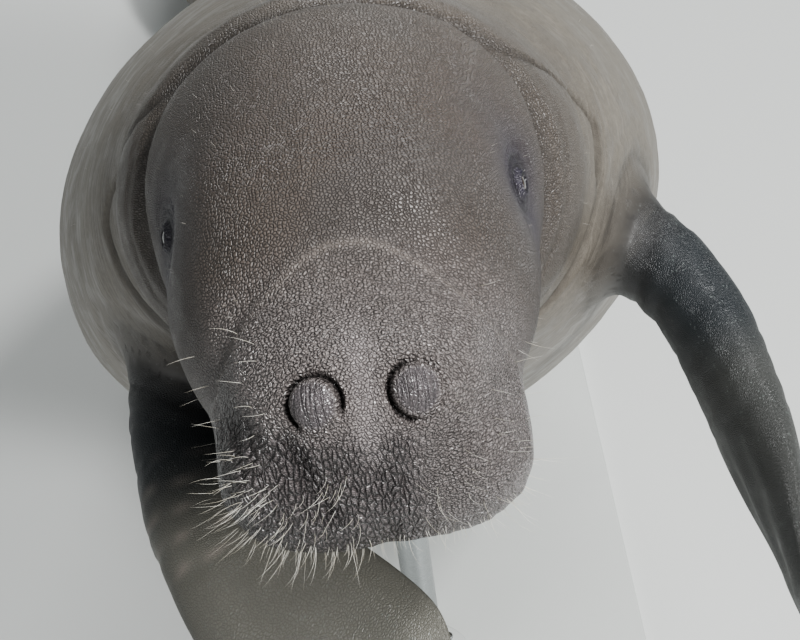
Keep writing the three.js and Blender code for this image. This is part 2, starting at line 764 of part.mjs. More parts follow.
export default manatee;
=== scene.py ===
# %% [markdown]
# This lesson builds a life-size manatee that hangs with its head raised, as a still museum model
# on a plain stand. A solid frame of the animal and its stand is loaded first. It gives the place
# and size of every part, and the finer pieces made below are laid over it.

import math
from functools import reduce

import bmesh
import bpy
import numpy as np
from mathutils import Matrix, Vector, noise
from mathutils.kdtree import KDTree


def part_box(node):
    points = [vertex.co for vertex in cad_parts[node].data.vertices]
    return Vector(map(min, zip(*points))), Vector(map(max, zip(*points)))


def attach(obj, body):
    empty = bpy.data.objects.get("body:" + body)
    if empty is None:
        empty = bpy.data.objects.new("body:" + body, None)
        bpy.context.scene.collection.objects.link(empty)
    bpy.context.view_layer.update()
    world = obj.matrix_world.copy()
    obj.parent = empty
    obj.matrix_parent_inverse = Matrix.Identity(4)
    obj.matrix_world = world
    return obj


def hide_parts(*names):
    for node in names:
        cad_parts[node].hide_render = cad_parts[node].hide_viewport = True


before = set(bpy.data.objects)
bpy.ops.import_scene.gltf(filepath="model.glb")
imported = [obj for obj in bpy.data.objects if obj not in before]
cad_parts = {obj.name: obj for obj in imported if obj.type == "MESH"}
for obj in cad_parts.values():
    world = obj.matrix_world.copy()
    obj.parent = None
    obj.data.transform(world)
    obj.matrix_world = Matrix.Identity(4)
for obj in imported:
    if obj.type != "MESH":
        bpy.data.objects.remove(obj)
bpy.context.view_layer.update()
scene = bpy.context.scene

# %% [markdown]
# The animal is easiest to describe when it lies straight. A place on it is then three lengths in
# millimetres: x to its left, s from the nose to the tail, and v up from its middle line. The
# middle line is bent afterwards, and everything on it goes with the bend. The head is carried a
# little to the right, and the trunk rolls slightly with its left side up.

# %% The middle line
BENDS = ((47, 60, 560), (-42, 1150, 2250), (-5, 2300, 3000))  # degrees, from s, to s
HEAD_SLOPE = 5
LENGTH = 3000
BALANCE_S = 1300  # the place along the body that comes over the middle of the stand
TAIL_CLEARANCE = 130
HEAD_SWAY = 18
TRUNK_ROLL = 11  # degrees


def smooth(low, high, x):
    """0 below low, 1 above high, and a soft step between."""
    t = np.clip((np.asarray(x, float) - low) / (high - low), 0, 1)
    return t * t * (3 - 2 * t)


def bell(distance, width):
    """1 at no distance, fading like a hill."""
    return np.exp(-((distance / width) ** 2))


def slope_at(s):
    """How steeply the middle line falls at s."""
    return np.radians(HEAD_SLOPE + sum(by * smooth(low, high, s) for by, low, high in BENDS))


steps = np.arange(0, LENGTH + 100, 10)
line_s = np.append(steps, LENGTH + 100)
line_y = np.append(0, np.cumsum(10 * np.cos(slope_at(steps + 5))))
line_z = np.append(0, -np.cumsum(10 * np.sin(slope_at(steps + 5))))
balance_y = np.interp(BALANCE_S, line_s, line_y)
tail_z = np.interp(LENGTH, line_s, line_z)


def place(points):
    """Places of the straight animal, in millimetres, on the bent one in metres."""
    x, s, v = np.moveaxis(np.asarray(points, float), -1, 0)
    slope = slope_at(s)
    ahead = np.minimum(s, 0)
    sway = -HEAD_SWAY * (1 - smooth(60, 620, s))
    roll = np.radians(TRUNK_ROLL) * (smooth(350, 850, s) - smooth(1500, 2300, s))
    over, up = x * np.cos(roll) - v * np.sin(roll), x * np.sin(roll) + v * np.cos(roll)
    y = np.interp(s, line_s, line_y) + ahead * np.cos(slope_at(0)) - balance_y
    z = np.interp(s, line_s, line_z) - ahead * np.sin(slope_at(0)) - tail_z + TAIL_CLEARANCE
    return np.stack([over + sway, y + up * np.sin(slope), z + up * np.cos(slope)], -1) / 1000


print("nose at", place([0, 0, 0]).round(3), "tail at", place([0, LENGTH, 0]).round(3))

# %% [markdown]
# The trunk is a row of measured girths with a smooth curve through them, as a tailor's dummy is
# drawn. The tail widens into a flat round paddle, and the shoulders swell where the flippers
# leave the body.

# %% The body's girth
GIRTH = np.array(  # s, half width, height above and depth below the middle line
    [
        (300, 172, 138, 152),
        (430, 205, 165, 182),
        (600, 272, 222, 220),
        (900, 346, 294, 262),
        (1200, 376, 328, 290),
        (1500, 356, 308, 284),
        (1800, 292, 246, 240),
        (2060, 222, 168, 162),
        (2250, 186, 108, 102),
        (2400, 236, 70, 66),
        (2560, 305, 47, 44),
        (2700, 322, 34, 32),
        (2850, 322, 24, 23),
        (3000, 322, 16, 15),
    ],
    float,
)


def station(column, s):
    """A smooth curve through one column of the girths."""
    last = len(GIRTH) - 1
    i = np.clip(np.searchsorted(GIRTH[:, 0], s, side="right") - 1, 0, last - 1)
    at = GIRTH[:, 0]
    value = GIRTH[:, column]

    def tangent(n):
        low, high = np.clip(n - 1, 0, last), np.clip(n + 1, 0, last)
        return (value[high] - value[low]) / (at[high] - at[low])

    run = at[i + 1] - at[i]
    t = np.clip((s - at[i]) / run, 0, 1)
    t2, t3 = t * t, t * t * t
    bent = (t3 - 2 * t2 + t) * run * tangent(i) + (t3 - t2) * run * tangent(i + 1)
    return (2 * t3 - 3 * t2 + 1) * value[i] + (3 * t2 - 2 * t3) * value[i + 1] + bent


def across(s, angle):
    """The body's outline across at s, at an angle from its left side: x and v."""
    into = np.clip((s - 2670) / 330, 0, 1)
    end = np.sqrt(np.maximum(1 - into**2.2, 0))
    height = np.where(np.sin(angle) > 0, station(2, s), station(3, s))
    x = station(1, s) * np.cos(angle) * end
    v = height * np.sin(angle) * np.minimum(1, end * 1.6)
    over = (np.degrees(np.arcsin(np.sin(angle))) + 38) / 34
    swell = 1 + 0.065 * np.exp(-(((s - 640) / 130) ** 2) - over**2)
    return x * swell, v * swell


# %% [markdown]
# The head is a soft union of rounded forms, as a sculptor presses lumps of clay together: the
# skull, the neck, the face, the blunt muzzle, the cheeks and the wide lip with its two pads. It
# could be sculpted by hand, but then every change of one lump would mean the work again. Here a
# field says how far any place lies outside the surface, and grooves are added to that distance.

# %% The forms of the head
FORMS = (  # place x, s, v; radii; tip in degrees; how square; how softly it joins
    ((0, 290, 14), (152, 180, 132), 14, 2.2, 0),
    ((0, 470, -12), (222, 240, 190), 0, 2, 60),
    ((0, 160, 2), (118, 150, 88), 24, 2.4, 50),
    ((0, 78, -22), (100, 76, 78), 40, 2.5, 26),
    ((82, 215, -38), (66, 130, 86), 0, 2, 40),
    ((0, 64, -66), (118, 68, 59), 6, 3, 22),
    ((36, 50, -72), (80, 62, 54), 12, 2.2, 24),
    ((0, 128, -112), (64, 76, 34), 0, 2.2, 10),
    ((0, 262, -88), (128, 158, 82), 0, 2, 40),
)
EYE = np.array([142, 240, 28])


def form_distance(points, middle, radii, tip, power):
    """How far each point lies outside one rounded form."""
    c, t = math.cos(math.radians(tip)), math.sin(math.radians(tip))
    x, s, v = (points - middle).T
    scaled = np.abs(np.stack([x, s * c + v * t, v * c - s * t], 1)) / radii
    size = (scaled**power).sum(1) ** (1 / power)
    steep = np.linalg.norm((scaled / size[:, None]) ** (power - 1) / radii, axis=1)
    return (size - 1) / steep


def head_field(points):
    """How far each point lies outside the head, with its large grooves."""
    x, s, v = points.T
    d = None
    for middle, radii, tip, power, soft in FORMS:
        for side in (1, -1) if middle[0] else (1,):
            e = form_distance(points, np.multiply(middle, (side, 1, 1)), np.array(radii), tip, power)
            if d is None:
                d = e
                continue
            h = np.maximum(soft - np.abs(d - e), 0) / max(soft, 1)
            d = np.minimum(d, e) - h * h * soft / 4
    from_eye = np.linalg.norm(np.stack([np.abs(x), s, v], 1) - EYE, axis=1)
    d += 9 * bell(from_eye, 42) - 5 * bell(from_eye, 17)
    d += 2 * bell(s - 92 - 0.0055 * v * v, 12) * smooth(-40, 10, v)
    d += 2 * bell(x, 9) * (1 - smooth(5, 45, v)) * (1 - smooth(70, 110, s))
    d += 12 * bell(s - 318 - 0.26 * v, 13)
    mouth_level = -112 + 0.16 * (s - 30)
    d += 8 * bell(v - mouth_level, 7) * (1 - smooth(125, 150, s))
    return d


def field_slope(points):
    """The way out of the head at each point."""
    nudges = np.eye(3) * 0.5
    return np.stack([head_field(points + n) - head_field(points - n) for n in nudges], 1)


CAST_FROM = 330.0
CAST_ROUNDS = 34
CAST_CARE = 0.8  # each step goes only this share of the way, so that it never passes the surface


def cast(start, way):
    """The head's surface along rays, closed in on from far outside."""
    r = np.full(len(start), CAST_FROM)
    for _ in range(CAST_ROUNDS):
        r -= CAST_CARE * head_field(start + way * r[:, None])
    return start + way * r[:, None]


print(len(FORMS), "forms make the head")


# %% [markdown]
# The skin is one closed net of rings, from a pole at the mouth to a pole at the end of the tail.
# Rings fan out over the muzzle and then stand upright along the body. They lie close together on
# the head and wider on the trunk, and the threads along the body are closest on its back, so that
# most of the net is spent where the folds are fine.

# %% Rings of the skin
SEGMENTS = 200
FAN_RINGS = 116
NECK_RINGS = 60
NECK_FROM, NECK_TO = 235, 520
FLARE_FROM = 2290  # where the tail paddle opens

turn = 2 * np.pi * np.arange(SEGMENTS) / SEGMENTS - np.pi / 2
ring_angles = turn + 0.3 * np.cos(turn)


def fan_rays(u, angle):
    """Rays that fan out from the mouth, at u = 0, until they stand upright, at u = 1."""
    opened = np.pi / 2 * u
    droop = np.radians(48) * (1 - smooth(0, 1, u))
    start = np.stack([0 * u, 98 + 137 * u * u, -14 * (1 - u)], -1)
    x, up, ahead = np.sin(opened) * np.cos(angle), np.sin(opened) * np.sin(angle), np.cos(opened)
    way = [x, -ahead * np.cos(droop) - up * np.sin(droop), up * np.cos(droop) - ahead * np.sin(droop)]
    return start, np.stack(way, -1)


def neck_skin(s, angle):
    """The head's forms give way to the body's outline, and its threads to the body's threads."""
    x, v = across(s, angle)
    out = np.stack([x, 0 * x, v], -1) / np.hypot(x, v)[:, None]
    turned = smooth(235, 370, s)[:, None]
    out = out * turned + np.stack([np.cos(angle), 0 * x, np.sin(angle)], -1) * (1 - turned)
    out /= np.linalg.norm(out, axis=1)[:, None]
    hit = cast(np.stack([0 * s, s, 0 * s], -1), out)
    share = smooth(370, 520, s)
    return np.stack([hit[:, 0] * (1 - share) + x * share, s, hit[:, 2] * (1 - share) + v * share], -1)


u, angle = np.meshgrid(np.arange(1, FAN_RINGS + 1) / FAN_RINGS, ring_angles, indexing="ij")
fan = cast(*fan_rays(u.ravel(), angle.ravel()))

neck_steps = np.arange(1, NECK_RINGS + 1) / NECK_RINGS
neck_s = NECK_FROM + (NECK_TO - NECK_FROM) * neck_steps**1.1
s, angle = np.meshgrid(neck_s, ring_angles, indexing="ij")
neck = neck_skin(s.ravel(), angle.ravel())

trunk_s = np.concatenate(
    [
        np.linspace(NECK_TO, 1250, 62)[1:],
        np.linspace(1250, FLARE_FROM, 61)[1:],
        FLARE_FROM + (LENGTH - FLARE_FROM) * np.sin(np.linspace(0, np.pi / 2, 50)[1:-1]),
    ]
)
s, angle = np.meshgrid(trunk_s, ring_angles, indexing="ij")
x, v = across(s, angle)
trunk = np.stack([x, s, v], -1)

rings = np.concatenate([fan, neck, trunk.reshape(-1, 3)]).reshape(-1, SEGMENTS, 3)
nose_pole = cast(*(q[None] for q in fan_rays(np.zeros(()), np.zeros(()))))[0]
print(len(rings), "rings of", SEGMENTS, "points")

# %% [markdown]
# One helper turns rings into a closed mesh. It also lays the net out flat in a map of its own, a
# plain grid where the head gets the largest share, for later use when the colours are baked.

# %% A net from rings
MAP_NAME = "OFBake"


def net(name, rings, poles, box):
    """A closed mesh from rings and its two poles, laid out in a box u0, v0, u1, v1 of the map."""
    rows, count = rings.shape[:2]
    points = np.concatenate([rings.reshape(-1, 3), poles])
    j = np.arange(count)
    k = (j + 1) % count
    faces = []
    spots = []
    for i in range(rows - 1):
        a, b = i * count, (i + 1) * count
        faces += np.stack([a + j, b + j, b + k, a + k], 1).tolist()
        spots += [(n, i, n, i + 1, n + 1, i + 1, n + 1, i) for n in range(count)]
    last = (rows - 1) * count
    faces += np.stack([0 * j + rows * count, j, k], 1).tolist()
    spots += [(n + 0.5, -1, n, 0, n + 1, 0) for n in range(count)]
    faces += np.stack([last + j, 0 * j + rows * count + 1, last + k], 1).tolist()
    spots += [(n, rows - 1, n + 0.5, rows, n + 1, rows - 1) for n in range(count)]
    mesh = bpy.data.meshes.new(name)
    mesh.from_pydata(points.tolist(), [], faces)
    flat = np.concatenate([np.array(q, float).reshape(-1, 2) for q in spots])
    flat = flat / (count, rows + 1) + (0, 1 / (rows + 1))
    u0, v0, u1, v1 = box
    layer = mesh.uv_layers.new(name=MAP_NAME)
    layer.data.foreach_set("uv", (flat * (u1 - u0, v1 - v0) + (u0, v0)).ravel())
    made = bpy.data.objects.new(name, mesh)
    scene.collection.objects.link(made)
    return made


# %% [markdown]
# A few small tools for meshes follow, and then the net is made. Most operators act on all that is
# selected, so a piece is always made the only selected one first.


# %% The skin's net
def alone(piece):
    """Only this piece is selected, and it is the active one."""
    bpy.ops.object.select_all(action="DESELECT")
    piece.select_set(True)
    bpy.context.view_layer.objects.active = piece


def points_of(mesh, kind="vertices", key="co"):
    """A mesh's places or directions as rows of three."""
    values = np.empty(len(getattr(mesh, kind)) * 3)
    getattr(mesh, kind).foreach_get(key, values)
    return values.reshape(-1, 3)


def set_points(mesh, points):
    mesh.vertices.foreach_set("co", np.asarray(points, float).ravel())
    mesh.update()


def outwards(piece):
    """All faces are turned to look outwards."""
    alone(piece)
    bpy.ops.object.mode_set(mode="EDIT")
    bpy.ops.mesh.select_all(action="SELECT")
    bpy.ops.mesh.normals_make_consistent(inside=False)
    bpy.ops.object.mode_set(mode="OBJECT")


skin = net("skin", rings, [nose_pole, (0, LENGTH, 0)], (0.004, 0.004, 0.996, 0.79))
outwards(skin)
print("net of", len(skin.data.polygons), "faces")

# %% [markdown]
# Nostrils and lids need a finer net than the rest of the head. Faces close to them are divided in
# the mesh itself, and the new points are then drawn back onto the rounded forms.

# %% Finer faces round nostrils and eyes
NOSTRIL_REACHES = (32, 25)
EYE_REACHES = (30, 15)
DRAW_BACK_ROUNDS = 4


def spot_on_head(aim, start):
    """A spot where a ray meets the head, and the way out of the head there."""
    way = np.subtract(aim, start)
    foot = cast(np.array([start], float), (way / np.linalg.norm(way))[None])[0]
    out = field_slope(foot[None])[0]
    out /= np.linalg.norm(out)
    return foot, out


nostrils = []
eyes = []
for side in (1, -1):
    foot, out = spot_on_head((side * 30, 40, 22), (0, 95, -20))
    right = np.array([1, 0, 0]) - out * out[0]
    right /= np.linalg.norm(right)
    nostrils.append({"side": side, "foot": foot, "out": out, "right": right, "up": np.cross(out, right)})
    foot, out = spot_on_head(EYE * (side, 1, 1), (0, EYE[1], 0))
    ahead = np.array([0, -1, 0]) + out * out[1]
    ahead /= np.linalg.norm(ahead)
    up = np.array([0, 0, 1]) - out * out[2] - ahead * ahead[2]
    eyes.append({"side": side, "foot": foot, "out": out, "right": ahead, "up": up / np.linalg.norm(up)})

work = bmesh.new()
work.from_mesh(skin.data)
for spots, reaches in ((nostrils, NOSTRIL_REACHES), (eyes, EYE_REACHES)):
    for spot in spots:
        for reach in reaches:
            near = {p for p in work.verts if (p.co - Vector(spot["foot"])).length < reach}
            edges = [e for e in work.edges if e.verts[0] in near and e.verts[1] in near]
            bmesh.ops.subdivide_edges(work, edges=edges, cuts=1, use_grid_fill=True)
bmesh.ops.triangulate(work, faces=[f for f in work.faces if len(f.verts) > 4])
work.to_mesh(skin.data)
work.free()

straight = points_of(skin.data)
fine = np.arange(len(straight)) >= rings.shape[0] * rings.shape[1] + 2
for _ in range(DRAW_BACK_ROUNDS):
    slope = field_slope(straight[fine])
    drop = head_field(straight[fine]) / (slope**2).sum(1)
    straight[fine] -= slope * drop[:, None]
set_points(skin.data, straight)
print(fine.sum(), "points added, and", len(skin.data.polygons), "faces in all")

# %% [markdown]
# The folds come next. Each could be carved with a brush, but here they are heights along the
# skin's own outward direction, so that they add up and can be set to the millimetre. Each nostril
# is shut by a round flap, with a deep groove round most of its edge.


# %% Nostrils
def local(spot, points):
    """Places round a spot: out from the middle, up, and outwards from the skin."""
    away = points - spot["foot"]
    return away @ spot["right"], away @ spot["up"], away @ spot["out"]


def arc(angle, low, high, soft=22):
    """1 on an arc of a circle, in degrees, fading softly at both ends."""
    middle, half = (low + high) / 2, (high - low) / 2
    off = np.abs((np.degrees(angle) - middle + 180) % 360 - 180)
    return 1 - smooth(half - soft / 2, half + soft / 2, off)


def fractal(points, scale, octaves=3):
    """Cloudy noise of about -1 to 1 at each place."""
    return np.array([noise.fractal(Vector(p) / scale, 1.0, 2.0, octaves) for p in points])


FLAP_RADIUS = 21
FLAP_RISE = 10.5
GROOVE_RADIUS = 20.5
GROOVE_DEPTH = 7


def nostril_relief(points):
    """Heights of the flaps and their grooves, the painted shade in the grooves, and where the flaps lie."""
    height = np.zeros(len(points))
    dark = np.zeros(len(points))
    flap = np.zeros(len(points))
    for spot in nostrils:
        a, b, c = local(spot, points)
        a = a * spot["side"]
        far = np.hypot(a, b * np.where(b < 0, 0.86, 1.0))
        on = np.abs(c) < 30
        angle = np.arctan2(b, a)
        if spot["side"] < 0:
            groove = arc(angle, -48, 205)
        else:
            groove = 0.1 + 0.35 * arc(angle, 30, 130) + 0.9 * arc(angle, 105, 262)
            groove = np.minimum(groove, 1)
        dome = np.maximum(1 - (far / FLAP_RADIUS) ** 2, 0) ** 0.85 * (1 - 0.45 * smooth(2, -22, b))
        rim = far - GROOVE_RADIUS
        height += on * (FLAP_RISE * dome - GROOVE_DEPTH * groove * bell(rim, 2))
        # painted shade along the groove round each flap
        dark = np.maximum(dark, on * groove * bell(rim, 1.7))
        flap = np.maximum(flap, on * (1 - smooth(13, 19.5, far)))
    return height, dark, flap


# %% [markdown]
# A shallow valley runs down each side of the muzzle and parts its middle from the pad of the lip,
# and upright wrinkles cross the front. The valley is a line of four places, and every point near
# that line sinks by how close it lies.

# %% Valleys and wrinkles of the lip
VALLEY_WIDTH = 11
VALLEYS = {  # side: how deep in millimetres, then places down the front of the muzzle
    -1: (4.2, ((-66, 12, 8), (-58, 4, -10), (-48, -4, -32), (-41, -12, -53))),
    1: (1.2, ((66, 12, 8), (58, 4, -10), (48, -4, -32), (41, -12, -53))),
}


def valley_relief(points):
    """The hollows between the middle of the muzzle and the pads of the lip."""
    depth = np.zeros(len(points))
    for deep, line in VALLEYS.values():
        line = np.array(line, float)
        far = np.full(len(points), 1e3)
        for a, b in zip(line, line[1:]):
            share = np.clip((points - a) @ (b - a) / ((b - a) @ (b - a)), 0, 1)
            far = np.minimum(far, np.linalg.norm(points - a - share[:, None] * (b - a), axis=1))
        depth += deep * bell(far, VALLEY_WIDTH)
    return depth


def lip_relief(points):
    """Upright wrinkles from the nostrils to the lip."""
    x, s, v = points.T
    front = (1 - smooth(70, 105, s)) * (1 - smooth(0, 26, v))
    ripple = np.array([noise.noise(Vector((p[0] / 5.5, p[1] / 34, p[2] / 34))) for p in points])
    return 1.2 * front * ripple * (0.35 + 0.65 * smooth(6, 16, np.abs(x)))


# %% [markdown]
# Manatees have no lashes and almost no lids: the skin closes round the eye like a drawn bag, with
# rings of folds and short rays round the opening. Here the rim is part of a ball a little larger
# than the eye, so that it wraps over it closely.

# %% Lids
LID_RADIUS = 15.6


def lid_relief(points):
    """Heights of the lids and the folds round them, and the painted shade in the folds and the socket."""
    height = np.zeros(len(points))
    dark = np.zeros(len(points))
    for spot in eyes:
        a, b, c = local(spot, points)
        far = np.hypot(a / 1.15, b / 0.95)
        on = (np.abs(c) < 25) & (np.hypot(a, b) < 60)
        angle = np.arctan2(b, a)
        lid = np.maximum(np.sqrt(np.maximum(LID_RADIUS**2 - far**2, 0)) - 9.7, 0)
        lid = (lid + 2.5) * smooth(4.8, 8.4, far) - 2.5
        folds = -1.5 * bell(far - 15.5, 1.7) - 1.6 * bell(far - 22, 2.2) - 1.3 * bell(far - 31, 3)
        rays = 0.5 * np.cos(15 * angle + 2 * np.sin(3 * angle)) * bell(far - 11.5, 3.5)
        lid = np.where(far > 12.5, 0, lid)
        height += on * (lid + folds + rays)
        # painted shade in the rings of folds round each eye, and faintly over the whole socket
        ring = bell(far - 6.4, 1.4) + 0.7 * bell(far - 15.5, 2) + 0.5 * bell(far - 22, 3)
        dark = np.maximum(dark, on * (ring + 0.4 * bell(far, 30)))
    return height, np.minimum(dark, 1)


# %% [markdown]
# Loose creases cross the neck, the shoulders and the tail stock, and a thin fold arches over the
# muzzle. Each crease is a groove round the body at one place along it, made to wander and break
# by cloudy noise, as a real crease does.

# %% Creases
CREASES = (  # s at the middle line, lean back with height, half width, depth
    (303, 0.32, 3.2, 1.6),
    (330, 0.22, 3.2, 3.2),
    (350, 0.16, 4.5, 2.2),
    (410, 0.1, 6.0, 2.0),
    (455, 0.06, 6.0, 1.6),
    (2040, 0.0, 9.0, 2.4),
    (2110, 0.05, 9.0, 2.6),
    (2175, 0.1, 9.0, 3.0),
    (2235, 0.12, 9.0, 3.0),
)


def collar_line(v):
    """A long fold from the top of the neck down to the throat, ahead of the shoulders."""
    return 500 - 140 * smooth(0, 110, v)


def arch_line(v):
    """The fold that arches over the muzzle from cheek to cheek."""
    return 82 + 0.0055 * v * v


def crease_relief(points):
    """Heights of the creases, the collar fold and the arch over the muzzle."""
    x, s, v = points.T
    height = np.zeros(len(points))
    wobble = fractal(points, 90) * 9
    broken = 0.55 + 0.45 * smooth(-0.3, 0.35, fractal(points + 400, 120))
    for at, lean, width, depth in CREASES:
        height -= depth * broken * bell(s + wobble - at - lean * v, width)
    height -= 4.5 * bell(s + wobble - collar_line(v), 5.5)
    over = smooth(-60, -20, v)
    height += over * (0.4 * bell(s - arch_line(v), 2.2) - 1.2 * bell(s - arch_line(v) - 7, 4.5))
    return height


print(len(CREASES), "creases round the body")

# %% [markdown]
# Now all the heights are added, with low lumps that keep the hide from looking turned on a lathe.
# The points move out by the sum, and only then is the straight animal bent into its pose.

# %% Press the folds in and bend the body
mesh_normals = points_of(skin.data, "vertices", "normal")
nostril_height, painted_nostril_shade, nostril_flap = nostril_relief(straight)
valley = valley_relief(straight)
lid_height, painted_lid_shade = lid_relief(straight)
on_head = 1 - smooth(280, 480, straight[:, 1])
lumps = fractal(straight, 160) * (2.2 - 1.2 * on_head) + fractal(straight + 900, 38, 2) * 0.8
lumps *= 1 - smooth(2250, 2500, straight[:, 1]) * 0.8
calm = 1 - np.clip(painted_nostril_shade + np.abs(lid_height), 0, 1)
relief = nostril_height + lid_height + crease_relief(straight) + lip_relief(straight)
relief = relief + lumps * calm - valley
shaped = straight + mesh_normals * relief[:, None]
set_points(skin.data, place(shaped))
print("folds from", relief.min().round(1), "to", relief.max().round(1), "mm")

# %% [markdown]
# A flipper is a short thick arm, a slim wrist and a flat rounded hand. It could be extruded ring by
# ring, but a path with sections along it keeps the bend smooth. One flipper reaches straight down
# and the other folds inwards below the chin.

# %% Paths and sections of the flippers
SHOULDER_S = 640
FLIPPERS = {  # path and lie of the breadth, as lengths out, ahead and down from the shoulder
    "left": {
        "side": 1,
        "path": [
            (180, -20, 30),
            (258, 0, 92),
            (312, 30, 172),
            (335, 58, 256),
            (349, 78, 336),
            (361, 92, 416),
            (368, 98, 494),
        ],
        "breadth": [(0.1, 1, -0.1), (0.35, 1, 0), (-0.1, 1, 0.1)],
        "box": (0.004, 0.81, 0.49, 0.996),
    },
    "right": {
        "side": -1,
        "path": [
            (120, -60, 70),
            (180, 0, 140),
            (192, 80, 218),
            (178, 164, 296),
            (134, 238, 362),
            (69, 292, 420),
            (3, 330, 488),
        ],
        "breadth": [(1, 0.45, 0.1), (1, 0.1, 0.3), (0.6, -0.1, 0.75)],
        "box": (0.51, 0.81, 0.996, 0.996),
    },
}
SECTIONS = np.array(  # along, half breadth, half thickness
    [
        (0, 84, 56),
        (0.2, 70, 46),
        (0.4, 60, 38),
        (0.55, 64, 31),
        (0.75, 85, 21),
        (0.9, 84, 14),
        (1, 76, 10),
    ]
)
WRIST_LINES = (0.2, 0.27, 0.345, 0.42, 0.47, 0.515, 0.56, 0.605)
ARM_RINGS = 84
ARM_SEGMENTS = 72

shoulder_slope = slope_at(SHOULDER_S)
ahead_way = np.array([0, -np.cos(shoulder_slope), np.sin(shoulder_slope)])
down_way = np.array([0, -np.sin(shoulder_slope), -np.cos(shoulder_slope)])
print(len(SECTIONS), "sections and", len(WRIST_LINES), "wrist lines to a flipper")


# %% [markdown]
# A flipper's middle follows a rounded curve through its path. At each place on it, three ways are
# worked out: along the arm, along its breadth and out of its flat side.


# %% Follow a path
def from_shoulder(side, lengths):
    """Lengths out, ahead and down from the shoulder as places of the bent animal."""
    out, ahead, down = np.moveaxis(np.asarray(lengths, float), -1, 0)[..., None]
    return np.array([side, 0, 0]) * out + ahead_way * ahead + down_way * down


def smooth_path(points, fine=60):
    """A rounded curve through points whose pace follows the root of their distances."""
    p = np.concatenate([[2 * points[0] - points[1]], points, [2 * points[-1] - points[-2]]])
    gaps = np.linalg.norm(np.diff(p, axis=0), axis=1) ** 0.5
    run = []
    for i in range(1, len(p) - 2):
        d0, d1, d2 = gaps[i - 1 : i + 2]
        t1 = (p[i] - p[i - 1]) / d0 - (p[i + 1] - p[i - 1]) / (d0 + d1) + (p[i + 1] - p[i]) / d1
        t2 = (p[i + 1] - p[i]) / d1 - (p[i + 2] - p[i]) / (d1 + d2) + (p[i + 2] - p[i + 1]) / d2
        t = (np.arange(fine) / fine)[:, None]
        bent = p[i] * (2 * t**3 - 3 * t**2 + 1) + p[i + 1] * (3 * t**2 - 2 * t**3)
        run.append(bent + t1 * d1 * (t**3 - 2 * t**2 + t) + t2 * d1 * (t**3 - t**2))
    return np.concatenate([*run, points[-1:]])


def unit(rows):
    return rows / np.linalg.norm(rows, axis=-1, keepdims=True)


def arm_frame(arm, t):
    """Middle of the arm, its way along, the way of its breadth and of its flat side at each t."""
    line = smooth_path(from_shoulder(arm["side"], arm["path"]) + place([0, SHOULDER_S, 0]) * 1000)
    pace = np.append(0, np.cumsum(np.linalg.norm(np.diff(line, axis=0), axis=1)))
    pace /= pace[-1]

    def at(q):
        return np.stack([np.interp(q, pace, line[:, i]) for i in range(3)], -1)

    along = unit(at(np.minimum(t + 0.004, 1)) - at(np.maximum(t - 0.004, 0)))
    ways = from_shoulder(arm["side"], arm["breadth"])
    i = np.minimum((t * 2).astype(int), 1)
    share = smooth(0, 1, t * 2 - i)[:, None]
    broad = ways[i] * (1 - share) + ways[i + 1] * share
    broad = unit(broad - along * (broad * along).sum(1, keepdims=True))
    return at(t), along, broad, np.cross(along, broad) * arm["side"]


# %% [markdown]
# Each ring of a flipper is an oval, thicker at its front edge than at its back, as on a wing. At
# the tip the ovals shrink to a rounded end. Wrinkles cross the arm and the wrist, and the finger
# bones show faintly under the skin of the hand.

# %% Flippers
ROUNDED_FROM = 0.86  # share of the way along where the tip starts to close
TIP_POWER = 2.4
EDGE_SHARE = 0.22  # how much thicker the front edge is than the middle


def section(column, t):
    """Half breadth, column 1, or half thickness, column 2, at each t."""
    i = np.clip(np.searchsorted(SECTIONS[:, 0], t), 1, len(SECTIONS) - 1)
    low, high = SECTIONS[i - 1], SECTIONS[i]
    straight_share = (t - low[:, 0]) / (high[:, 0] - low[:, 0])
    share = (smooth(0, 1, straight_share) + straight_share) / 2
    return low[:, column] * (1 - share) + high[:, column] * share


def arm_relief(arm, t, angle):
    """Wrinkles across the arm and wrist, and shallow hollows between the finger bones."""
    wave = 0.012 * np.sin(2 * angle + 1) + 0.006 * np.sin(5 * angle)
    height = np.zeros(len(t))
    for at in WRIST_LINES:
        height -= 1.8 * bell(t + wave - at, 0.009) * (0.6 + 0.4 * np.sin(angle * 3 + at * 60))
    fingers = smooth(0.6, 0.72, t) * (1 - smooth(0.9, 0.99, t))
    height += 1.5 * fingers * np.cos(np.cos(angle) * 10.5) * np.abs(np.sin(angle))
    return height


def tip_share(t):
    """1 along the arm, and down to 0 at the very tip."""
    closing = np.maximum(t - ROUNDED_FROM, 0) / (1 - ROUNDED_FROM)
    return np.sqrt(np.maximum(1 - closing**TIP_POWER, 0))


def arm_rings(arm):
    """All rings of a flipper, with each point's share along it and angle round it."""
    step = np.arange(ARM_RINGS) / ARM_RINGS
    t = step * 0.4 + np.sin(step * np.pi / 2) * 0.6
    centre, along, broad, flat = arm_frame(arm, t)
    end = tip_share(t)
    wide = section(1, t) * end
    thick = section(2, t) * (0.35 + 0.65 * end)
    angle = 2 * np.pi * np.arange(ARM_SEGMENTS) / ARM_SEGMENTS
    tt, aa = np.meshgrid(t, angle, indexing="ij")
    bump = arm_relief(arm, tt.ravel(), aa.ravel()).reshape(tt.shape)
    edge = 1 + EDGE_SHARE * np.cos(aa)
    x = (wide[:, None] + bump * end[:, None]) * np.cos(aa)
    y = (thick[:, None] * edge + bump * end[:, None]) * np.sin(aa)
    return centre[:, None] + broad[:, None] * x[..., None] + flat[:, None] * y[..., None], tt, aa


arms = {}
for name, arm in FLIPPERS.items():
    arm_points, tt, aa = arm_rings(arm)
    tip = arm_frame(arm, np.array([1.0]))[0][0]
    root = arm_frame(arm, np.array([0.0]))[0][0]
    arms[name] = net(f"arm_{name}", arm_points / 1000, [root / 1000, tip / 1000], arm["box"])
    outwards(arms[name])
    print(name, "flipper of", len(arms[name].data.polygons), "faces")

